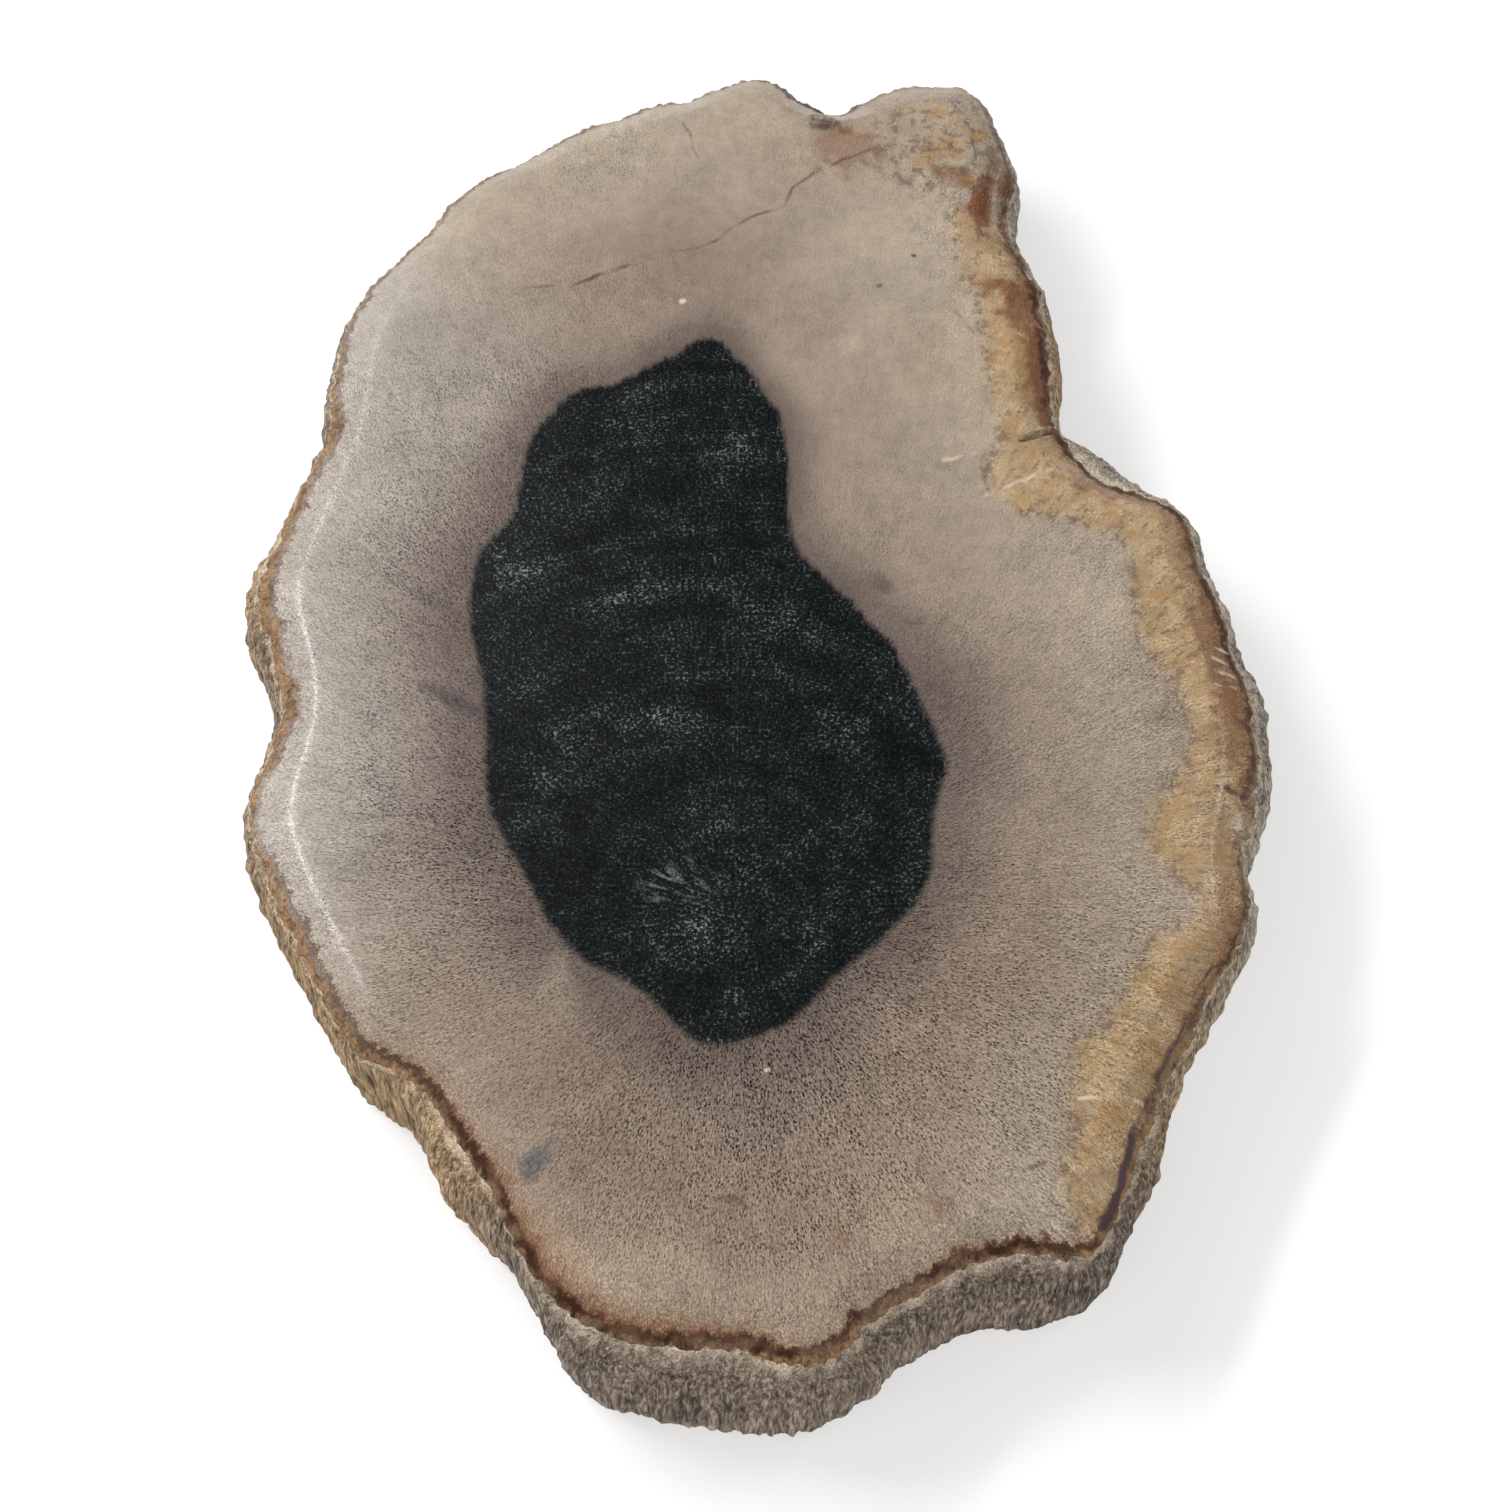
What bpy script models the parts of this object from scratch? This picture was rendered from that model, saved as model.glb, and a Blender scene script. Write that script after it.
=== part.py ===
"""Polished slice of petrified wood, lying flat on its sawn underside.

One solid: a cross-cut of a fossil log with a flat polished face, a softly rounded rim
and a rough bark wall that swells outward below the rim. The slice lies in the XY plane
with its pointed far end towards +Y and its sawn underside on Z = 0. The origin is under
the middle of its bounding box.
"""

import bmesh
import bpy
import numpy as np

MM = 0.001

# Driving dimensions, metres
THICKNESS = 18.0 * MM
RIM_HEIGHT = 15.4 * MM
ROUNDING_WIDTH = 5.0 * MM
POINTS_AROUND = 300
CURVE_STEPS = 16
DIRECTION_REACH = 2.0 * MM
SWELL_REACH = 1.2 * MM
SHARP_ANGLE = np.radians(40.0)

# The rim: the outer edge of the polished face, in millimetres, anticlockwise from the
# right-hand side. It is drawn about the middle of the growth rings' widest part.
RIM_MM = [
    # right side, widest near the middle
    (51.0, 0.0), (51.2, 4.0), (50.8, 8.0), (49.9, 11.5), (49.1, 15.0), (48.6, 18.5),
    (47.7, 22.0), (46.5, 25.5), (46.2, 28.8),
    # shoulder and re-entrant corner
    (44.6, 31.2), (41.0, 33.0), (37.0, 34.8), (34.2, 38.2), (32.4, 41.8),
    # far right flank, two low swells
    (32.1, 45.0), (32.2, 49.5), (32.4, 53.5), (31.9, 57.2), (31.9, 60.3), (30.3, 63.6),
    # chipped flank
    (28.9, 68.0), (28.6, 71.5), (29.6, 75.5), (28.8, 79.6),
    # square-shouldered far lobe
    (27.6, 84.2), (26.2, 88.0), (24.0, 89.9), (20.0, 90.0), (15.5, 89.2),
    # notch, then the blunt peak
    (11.5, 86.8), (8.6, 85.6), (5.5, 87.8), (2.8, 90.4), (0.0, 91.4),
    # long far left shoulder
    (-4.5, 89.8), (-8.7, 87.4), (-10.5, 87.5), (-15.0, 85.6), (-20.5, 83.0), (-26.5, 79.2),
    (-31.0, 76.3), (-34.3, 73.0), (-36.8, 69.0), (-39.8, 65.0), (-43.4, 60.0), (-45.4, 55.0),
    (-46.2, 50.0),
    # cracked nick and left side
    (-46.5, 44.5), (-46.3, 41.0), (-47.2, 38.5), (-48.8, 34.0), (-50.0, 29.5), (-51.4, 25.0),
    # horn, hollow and swell
    (-52.3, 20.6), (-51.6, 16.5), (-49.9, 11.5), (-48.7, 6.8), (-49.5, 1.6), (-50.9, -3.2),
    (-50.6, -8.0), (-48.8, -12.6), (-46.2, -18.0),
    # lower left
    (-43.3, -23.4), (-41.0, -27.8), (-38.2, -31.4), (-34.6, -32.6), (-31.2, -35.8),
    (-27.5, -41.2), (-24.4, -46.2), (-21.8, -51.2), (-18.3, -55.6),
    # near end
    (-13.5, -58.6), (-8.0, -59.7), (-1.0, -60.2), (3.4, -61.6), (7.4, -60.8), (11.0, -57.2),
    (15.5, -54.8), (19.5, -52.3), (24.5, -51.0), (29.5, -51.6),
    # lower right corner and side
    (32.4, -49.9), (34.2, -46.5), (35.6, -42.5), (37.4, -38.0), (39.2, -34.5),
    (41.4, -30.5), (43.4, -26.3), (46.2, -22.2), (48.2, -18.5), (49.0, -14.5), (48.6, -10.5),
    (50.0, -6.5),
]
CORE_MM = (0.0, 12.0)

# How far the bark wall swells out beyond the rim, in millimetres, by bearing in degrees
# about the core point, anticlockwise from +X.
WALL_SWELL_MM = [
    (0, 2.9), (4, 2.0), (8, 2.3), (16, 1.9), (20, 2.4), (24, 2.2), (28, 4.2), (33, 5.8),
    (38, 5.0), (42, 1.8), (46, 0.9), (50, 2.1), (56, 1.5), (65, 1.2), (90, 1.6), (120, 1.6),
    (140, 1.4), (160, 1.6), (170, 2.7), (177, 1.3), (186, 1.5), (197, 1.6), (207, 1.0),
    (214, 0.5), (228, 0.4), (233, 0.7), (237, 1.7), (241, 2.9), (244, 2.6), (247, 1.2),
    (251, 0.4), (254, 1.2), (258, 3.6), (264, 4.2), (270, 4.1), (276, 2.9), (281, 2.1),
    (287, 2.7),
    (292, 3.5), (297, 2.1), (301, 1.5), (306, 2.7), (311, 1.1), (316, 0.6), (327, 0.6),
    (331, 1.6), (335, 0.7), (340, 1.3), (347, 2.4), (352, 2.2), (356, 3.2),
]

# The wall's rings from the underside up: height in millimetres, share of the swell, extra
# inset in millimetres, and how far along the outline its notches are smoothed.
WALL_RINGS = [
    (0.0, 0.66, 0.7, 2.6),
    (0.8, 0.76, 0.0, 2.6),
    (3.6, 0.96, 0.0, 2.4),
    (7.6, 1.00, 0.0, 2.0),
    (11.4, 0.84, 0.0, 1.4),
    (14.0, 0.50, 0.0, 0.8),
]
# The rounding's rings from the rim to the flat face: share of the rounding's width, share
# of its rise, and smoothing along the outline in millimetres.
ROUNDING_RINGS = [
    (0.00, 0.00, 0.4),
    (0.22, 0.41, 1.2),
    (0.60, 0.79, 2.4),
    (1.00, 1.00, 3.6),
]

FACE_COLOUR = (0.36, 0.30, 0.24, 1.0)
WALL_COLOUR = (0.16, 0.12, 0.085, 1.0)
UNDERSIDE_COLOUR = (0.28, 0.24, 0.20, 1.0)


def clear_scene():
    """Remove every object that the file holds."""
    for item in list(bpy.data.objects):
        bpy.data.objects.remove(item, do_unlink=True)


def resample(loop, count):
    """Return points at equal distances along a closed loop."""
    closed = np.vstack([loop, loop[:1]])
    steps = np.linalg.norm(np.diff(closed, axis=0), axis=1)
    along = np.concatenate([[0.0], np.cumsum(steps)])
    wanted = np.arange(count) * along[-1] / count
    return np.column_stack([np.interp(wanted, along, closed[:, axis]) for axis in (0, 1)])


def rounded_outline(points, count):
    """Run a closed Catmull-Rom curve through the points and space it evenly."""
    before = np.roll(points, 1, axis=0)
    after = np.roll(points, -1, axis=0)
    beyond = np.roll(points, -2, axis=0)
    pieces = []
    for t in np.linspace(0.0, 1.0, CURVE_STEPS, endpoint=False):
        pieces.append(0.5 * (
            2.0 * points
            + (after - before) * t
            + (2.0 * before - 5.0 * points + 4.0 * after - beyond) * t ** 2
            + (3.0 * points - before - 3.0 * after + beyond) * t ** 3
        ))
    curve = np.stack(pieces, axis=1).reshape(-1, 2)
    return resample(curve, count)


def smoothed(values, spacing, reach):
    """Blur values that stand evenly round the outline with a bell-shaped window."""
    width = int(np.ceil(3.0 * reach / spacing))
    shifts = np.arange(-width, width + 1)
    weights = np.exp(-0.5 * (shifts * spacing / reach) ** 2)
    weights /= weights.sum()
    return sum(weight * np.roll(values, shift, axis=0) for weight, shift in zip(weights, shifts))


def outward(loop):
    """Return the unit outward direction at each point of an anticlockwise loop."""
    along = np.roll(loop, -1, axis=0) - np.roll(loop, 1, axis=0)
    across = np.column_stack([along[:, 1], -along[:, 0]])
    return across / np.linalg.norm(across, axis=1, keepdims=True)


def swell_around(rim, spacing):
    """Return the wall's swell at each point of the rim, metres."""
    bearings, swells = np.array(WALL_SWELL_MM, dtype=float).T
    offset = rim - np.array(CORE_MM) * MM
    bearing = np.degrees(np.arctan2(offset[:, 1], offset[:, 0]))
    swell = np.interp(bearing, bearings, swells * MM, period=360.0)
    return smoothed(swell, spacing, SWELL_REACH)


def ring_at(rim, spacing, offset, reach, height):
    """Return one closed ring: the smoothed rim moved outward by the offset."""
    base = smoothed(rim, spacing, reach)
    direction = smoothed(outward(base), spacing, DIRECTION_REACH)
    flat = base + direction * np.reshape(offset, (-1, 1))
    return np.column_stack([flat, np.full(len(flat), height)])


def slice_rings():
    """Return the rings of the slice from the underside to the flat polished face."""
    rim = rounded_outline(np.array(RIM_MM) * MM, POINTS_AROUND)
    spacing = np.linalg.norm(rim - np.roll(rim, 1, axis=0), axis=1).mean()
    swell = swell_around(rim, spacing)
    rings = []
    for height, share, inset, reach in WALL_RINGS:
        offset = swell * share - inset * MM
        rings.append(ring_at(rim, spacing, offset, reach * MM, height * MM))
    for across, rise, reach in ROUNDING_RINGS:
        offset = np.full(len(rim), -across * ROUNDING_WIDTH)
        height = RIM_HEIGHT + rise * (THICKNESS - RIM_HEIGHT)
        rings.append(ring_at(rim, spacing, offset, reach * MM, height))
    every_point = np.vstack(rings)
    middle = (every_point.min(axis=0) + every_point.max(axis=0)) / 2.0
    middle[2] = 0.0
    return [ring - middle for ring in rings]


def stone(name, colour, roughness):
    """Return a plain stone material."""
    material = bpy.data.materials.new(name)
    material.use_nodes = True
    shader = material.node_tree.nodes["Principled BSDF"]
    shader.inputs["Base Color"].default_value = colour
    shader.inputs["Roughness"].default_value = roughness
    shader.inputs["Metallic"].default_value = 0.0
    material.diffuse_color = colour
    return material


def loft(rings, wall_bands):
    """Skin the rings with quads and close both ends with flat faces.

    The faces take material 0 on the polished side, 1 on the wall and 2 underneath.
    """
    shape = bmesh.new()
    loops = [[shape.verts.new(point) for point in ring] for ring in rings]
    for band, (lower, upper) in enumerate(zip(loops, loops[1:])):
        for here in range(len(lower)):
            there = (here + 1) % len(lower)
            face = shape.faces.new((lower[here], lower[there], upper[there], upper[here]))
            face.material_index = 1 if band < wall_bands else 0
    shape.faces.new(loops[-1]).material_index = 0
    shape.faces.new(reversed(loops[0])).material_index = 2
    bmesh.ops.recalc_face_normals(shape, faces=shape.faces)
    return shape


def build_slice(collection):
    """Model the slice as one closed solid."""
    mesh = bpy.data.meshes.new("petrified_wood_slice")
    shape = loft(slice_rings(), len(WALL_RINGS))
    shape.to_mesh(mesh)
    shape.free()
    mesh.materials.append(stone("polished_face", FACE_COLOUR, 0.18))
    mesh.materials.append(stone("bark_wall", WALL_COLOUR, 0.85))
    mesh.materials.append(stone("sawn_underside", UNDERSIDE_COLOUR, 0.6))
    mesh.shade_smooth()
    mesh.set_sharp_from_angle(angle=SHARP_ANGLE)
    item = bpy.data.objects.new("petrified_wood_slice", mesh)
    collection.objects.link(item)
    return item


def main():
    clear_scene()
    collection = bpy.data.collections.new("petrified_wood_slice")
    bpy.context.scene.collection.children.link(collection)
    build_slice(collection)


main()
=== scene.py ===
import math

import bpy
import numpy as np
from bpy.props import FloatProperty, FloatVectorProperty, IntProperty, PointerProperty
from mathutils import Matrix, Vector, noise
from mathutils.geometry import delaunay_2d_cdt


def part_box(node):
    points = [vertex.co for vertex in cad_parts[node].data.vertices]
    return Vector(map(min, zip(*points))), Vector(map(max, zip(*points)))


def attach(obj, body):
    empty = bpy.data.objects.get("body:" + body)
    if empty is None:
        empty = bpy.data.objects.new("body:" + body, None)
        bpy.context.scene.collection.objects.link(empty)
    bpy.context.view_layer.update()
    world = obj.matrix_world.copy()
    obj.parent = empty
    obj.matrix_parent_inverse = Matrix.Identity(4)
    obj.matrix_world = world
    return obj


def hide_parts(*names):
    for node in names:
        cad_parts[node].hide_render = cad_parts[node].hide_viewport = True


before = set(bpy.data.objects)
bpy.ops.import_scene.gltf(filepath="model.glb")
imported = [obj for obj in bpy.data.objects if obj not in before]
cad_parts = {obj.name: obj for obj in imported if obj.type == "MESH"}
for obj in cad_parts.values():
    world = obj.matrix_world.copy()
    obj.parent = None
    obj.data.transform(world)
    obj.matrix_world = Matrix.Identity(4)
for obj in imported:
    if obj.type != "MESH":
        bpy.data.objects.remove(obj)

bl_info = {
    "name": "Petrified wood slice",
    "version": (1, 0, 0),
    "blender": (4, 5, 0),
    "location": "View3D > Sidebar > Wood slice",
    "description": "Builds a polished slice of petrified wood on its packed frame",
    "category": "Add Mesh",
}

bpy.context.view_layer.update()
NODE = "petrified_wood_slice"
MM = 1000.0
LOW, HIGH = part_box(NODE)
TOP = HIGH.z * MM  # height of the polished face
RIM = 15.4  # height of the rim, where the bark ends and the polish begins
CORE = np.array([0.0, -2.0])  # every bearing is taken from here
PITH = (-1.6, -31.0)  # where the wood's rays start
VIEW_SLOPE = 0.53  # marks on the rounding are laid out on the plane of the face and dropped along this slope
FAR_AWAY = 1e9
DARKEST = (0.0012, 0.0016, 0.0018)  # the heart is never darker than this

# ---------------------------------------------------------------- outlines and marks, in mm on the face

# the dark heart, clockwise from its tip at the far end
HEART = [
    (-4.3, 38.2), (-3, 37.2), (-1.8, 35.5), (-0.3, 34), (1.3, 31), (2.6, 28.5), (3.6, 26), (3.8, 22),
    (4, 18), (3.9, 14), (4.6, 11), (6.5, 8.5), (8.3, 6.5), (10.5, 4.3), (12.2, 1.5), (14.3, -0.3),
    (16.3, -5), (17.6, -8.5), (18.6, -11), (19.7, -14.5), (18.9, -17.5), (18.1, -20), (17.9, -23.5),
    (17.8, -26.5), (16.3, -30), (12.8, -34), (10.5, -36), (7.5, -38.5), (5.5, -41), (3.5, -42.8),
    (0.5, -44.2), (-2, -45), (-4, -45.2), (-5.8, -44.5), (-7.5, -42.5), (-10, -40), (-12.5, -38.2),
    (-16, -36.5), (-18, -34.5), (-20, -32), (-21.3, -29), (-22.8, -26), (-24.7, -23), (-26, -20),
    (-26.7, -16.5), (-26.7, -13), (-27, -9.5), (-27.3, -6), (-28, -3), (-28.8, 0), (-29.3, 3), (-29, 9),
    (-28.3, 11), (-26.5, 13), (-25.2, 15), (-24.7, 18.5), (-24.3, 22), (-23.7, 25), (-22.5, 27), (-21, 29),
    (-19.8, 30.5), (-18, 31.3), (-15, 31.8), (-13, 33), (-11, 34.5), (-8, 36), (-6.5, 37.3), (-5.3, 38.3),
]

# inner border of the golden band, from the far end down the right side
GOLD_BORDER = [
    (22.5, 56), (22.5, 52), (23.5, 47), (25, 43), (25.5, 38), (26, 32), (26.5, 27), (27, 24), (25.5, 22.5),
    (24.8, 21), (25.5, 18), (28, 15.5), (33, 14.8), (38, 13), (39.6, 11), (39.7, 6), (39.8, 1), (40.8, -2),
    (42.8, -5), (44, -8), (45, -11), (44, -14), (42, -17), (40.5, -19), (39.3, -22), (39.7, -25), (43, -28),
    (44, -31), (41.5, -33), (39, -34), (36, -40), (34, -43), (31, -45), (30, -49), (30.3, -54), (29, -57),
    (29.5, -62), (30.5, -66),
]

# corners beyond the right rim that close the band's outline
BEYOND_BAND = [(70, -66), (70, 56)]
# the lobe at the far end, with the band's look: x, y, half width, half height, turn in degrees
LOBE = (22, 65, 9, 8, 0)

# broad tones of the face, blended between these places: x, y, tone; the frost tone along the left rim is
# paler stone with a painted sheen laid into it
TONES_AT = [
    # far end
    (-18, 66, "pale"), (-10, 68, "pale"), (0, 68, "pale"), (7, 66, "warm light"), (12, 65, "warm light"),
    (18, 68, "light"), (24, 67, "pale"), (-26, 60, "pale"), (-16, 60, "pale"), (-5, 60, "light"),
    (5, 60, "light"), (12, 60, "light"), (18, 60, "pale"),
    # above the heart
    (-34, 54, "pale"), (-24, 54, "light"), (-14, 54, "band"), (-3, 54, "band"), (6, 54, "light"),
    (12, 54, "pale"), (18, 53, "pale"), (-38, 46, "frost"), (-30, 46, "light"), (-22, 46, "band"),
    (-14, 46, "band"), (-6, 47, "dusk"), (2, 47, "band"), (9, 46, "light"), (16, 46, "pale"),
    (21, 45, "pale"), (-41, 36, "frost"), (-34, 38, "rose"), (-27, 38, "rose"), (-20, 38, "band"),
    (6, 38, "band"), (12, 37, "light"), (18, 37, "light"), (23, 36, "pale gold"),
    # left of the heart, where the frost tone along the rim is paler stone with a painted sheen
    (-42, 28, "frost"), (-36, 28, "rose"), (-30, 27, "rose"), (-42, 18, "frost"), (-36, 18, "rose"),
    (-30, 17, "rose dusk"), (-47, 10, "frost"), (-42, 8, "rose"), (-36, 8, "rose dusk"), (-46, 0, "frost"),
    (-41, -1, "rose"), (-36, -1, "rose dusk"), (-47, -10, "frost"), (-42, -10, "frost"),
    (-36, -9, "rose dusk"), (-46, -20, "frost"), (-42, -20, "frost"), (-36, -20, "rose dusk"),
    (-30, -22, "rose dusk"), (-43, -29, "frost"), (-37, -30, "band"), (-31, -30, "rose dusk"),
    (-41, -36, "frost"), (-36, -38, "light"), (-29, -37, "warm dusk"), (-24, -38, "rose dusk"),
    # below the heart
    (-34, -45, "warm light"), (-28, -45, "warm"), (-22, -45, "warm dusk"), (-15, -46, "warm dusk"),
    (-7, -50, "warm dusk"), (0, -50, "dusk"), (7, -50, "dusk"), (14, -49, "warm dusk"), (20, -48, "warm"),
    (26, -47, "light"), (-26, -53, "warm light"), (-19, -54, "warm dusk"), (-12, -56, "warm dusk"),
    (-5, -58, "warm dusk"), (2, -58, "warm dusk"), (9, -57, "warm"), (16, -56, "warm"), (23, -55, "light"),
    (-20, -62, "warm"), (-12, -66, "warm light"), (-4, -67, "warm"), (4, -67, "warm"),
    (12, -66, "warm light"), (19, -61, "warm light"), (25, -61, "pale"), (-11, -71, "warm light"),
    (0, -71, "warm light"),
    # right of the heart
    (11, 28, "band"), (17, 27, "light"), (22, 27, "pale"), (11, 19, "band"), (17, 18, "light"),
    (23, 14, "light"), (29, 12, "light"), (16, 11, "band"), (35, 10, "pale"), (20, 5, "band"),
    (26, 4, "light"), (32, 3, "light"), (37, 3, "pale"), (23, -4, "dusk"), (29, -5, "band"),
    (35, -6, "light"), (39, -8, "light"), (24, -13, "dusk"), (30, -14, "band"), (36, -14, "light"),
    (41, -14, "light"), (23, -21, "band"), (29, -22, "dusk"), (35, -22, "light"), (20, -30, "warm dusk"),
    (26, -31, "warm dusk"), (32, -31, "band"), (38, -29, "light"), (43, -30, "pale"),
    (18, -39, "warm dusk"), (25, -39, "warm dusk"), (31, -38, "band"), (36, -35, "light"),
    (28, -52, "light"),
]
TONE_REACH = 4.5  # how far each of those places counts, in mm

# soft stains: x, y, half width, half height, turn in degrees, tone, strength
STAINS = [
    (28.2, 44.4, 4.4, 1.5, -30, "rust", 0.75),
    (30.2, 41.6, 2.6, 4.6, 22, "rust", 0.8),
    (31, 35, 2.6, 6, 0, "ochre", 0.8),
    (26, 56, 2, 4.5, -10, "rust", 0.9),
    (29, 60.5, 1.5, 2.2, 0, "rust", 0.7),
    (24.5, 50, 2.8, 4.0, 0, "pale gold", 0.55),
    (21.5, 70.3, 1.8, 0.8, 0, "ochre", 0.8),
    (26, 67, 1.4, 1.2, 0, "ochre", 0.8),
    (23, 65, 1.4, 2, 0, "ochre", 0.6),
    (23.4, 61.2, 3.0, 1.2, -25, "rust", 0.6),
    (25, 60, 1.4, 1.4, 0, "ochre", 0.7),
    (8.3, 68.4, 1.6, 1.4, 0, "rust dark", 0.8),  # red patch in the far notch
    (11.5, 67, 1.4, 0.6, -20, "rust", 0.8),
    (11, 64.5, 3.6, 3.2, 0, "rust", 0.45),
    (38, 18.5, 5, 1.8, -22, "rust", 0.7),
    (47.5, 0, 2.2, 8, 8, "rust", 0.6),
    (48.5, -11, 2, 7, 0, "rust", 0.65),
    (38, -47, 2, 3, 20, "ochre", 0.5),
    (34, -53, 2, 3, 10, "ochre", 0.5),
    (40, -39, 2, 2, 0, "ochre", 0.5),
    (-45, 26.5, 2, 1.2, 20, "rust", 0.7),  # nick on the left
    (-51, 6, 1.2, 2, 0, "rust dark", 0.6),
    (-46.8, -8.5, 1.4, 1.8, 0, "rust", 0.6),
    (-49, -14.5, 1, 1.6, 0, "rust dark", 0.6),
    (-18, -66, 3.2, 4.2, -35, "ochre", 0.15),
    (17, -61, 1.2, 2.2, 0, "rust", 0.35),
    (8, -64.5, 1.2, 1.6, 0, "rust", 0.3),
    (-30, -7.6, 3.8, 1.0, -32, "plum", 0.85),  # dark streak left of the heart
    (-33.5, 4.5, 2.6, 0.9, -25, "plum", 0.4),
    (13.5, 6.5, 1.6, 0.9, -30, "near heart", 0.9),
    (16.5, 2, 1.4, 1, 0, "near heart", 0.8),
    (-19, -40, 2.6, 4.6, 0, "band", 0.5),
    (11, 37.2, 0.9, 1.6, -30, "pale", 0.7),
    (41, -9, 1.6, 1.4, 0, "near heart", 0.35),
    (-20.3, -56.9, 3.0, 1.15, 52, "umber", 0.5),
    (-20.3, -56.9, 2.6, 0.9, 52, "slate", 0.95),  # grey inclusion
    (32.0, 34, 1.9, 8.5, 4, "rust", 0.95),
    (31.8, 38.5, 2.0, 5.0, 10, "rust", 0.85),
    (26.0, 56.5, 1.5, 4.0, 5, "rust", 0.9),
    (27.6, 63, 1.0, 2.4, 0, "umber", 0.5),
    (20.5, 63.5, 2.4, 1.2, 30, "ochre", 0.6),
    (17, 60, 1.2, 1.0, 0, "umber", 0.3),
    (22.5, 60.5, 2.6, 1.4, -30, "rust", 0.5),
    (28.2, 55.2, 1.1, 3.0, 8, "cream", 0.9),  # chip with a grey facet
    (28.9, 56, 0.7, 2.0, 8, "slate", 0.9),
    (48.8, -22.4, 1.3, 2.9, 0, "cream", 0.75),  # chip on the right rim
    (51, -19, 0.8, 3.0, 0, "slate", 0.8),
    (39.6, -52.5, 1.1, 2.6, 28, "pale gold", 0.8),
    (46.6, -30, 1.2, 3.2, -8, "rust", 0.5),
]

# chips broken out of the rounding: x, y, half width, half height, turn in degrees, depth
CHIPS = [
    (28.4, 55.4, 0.9, 2.8, 8, 1.2), (50.2, -20.5, 1.2, 3.2, 5, 1.1), (39.6, -52.5, 1.0, 2.6, 28, 0.8),
    (-45, 26.2, 1.9, 0.8, 20, 0.5), (38.2, -56.5, 0.9, 0.9, 0, 0.8), (-46.8, -8.6, 1.0, 1.3, 0, 0.4),
    (8, 69, 1.6, 0.9, -10, 0.6),
]

# places where the heart's grains lie thicker: x, y, half width, half height, turn in degrees, strength
HEART_LIGHTS = [
    (-24, 9, 4.5, 3, 10, 0.65), (-12, 5, 7, 1.8, 12, 0.8), (-18, -12, 5, 2.4, 42, 0.75),
    (-22, -17, 3, 2, 40, 0.7), (-11, -9.5, 6, 1.6, 5, 0.7), (9, -10, 5, 2.6, -20, 0.8),
    (4, 2, 6, 3, -15, 0.5), (6, -34, 1.6, 3, 10, 0.6), (-1, -26, 2, 3, 0, 0.6), (-18, 20, 6, 5, 30, 0.5),
    (-2, 24, 4, 6, 0, 0.4), (-13, 26, 6, 5, 0, 0.45), (-4, 8, 5, 4, 0, 0.35), (-5, -34, 5, 4, 0, 0.5),
]

# the pale fan of rays beside the pith: x, y, half width, half height, turn in degrees
FAN = (-7.2, -28.0, 4.2, 2.6, -8)

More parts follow.
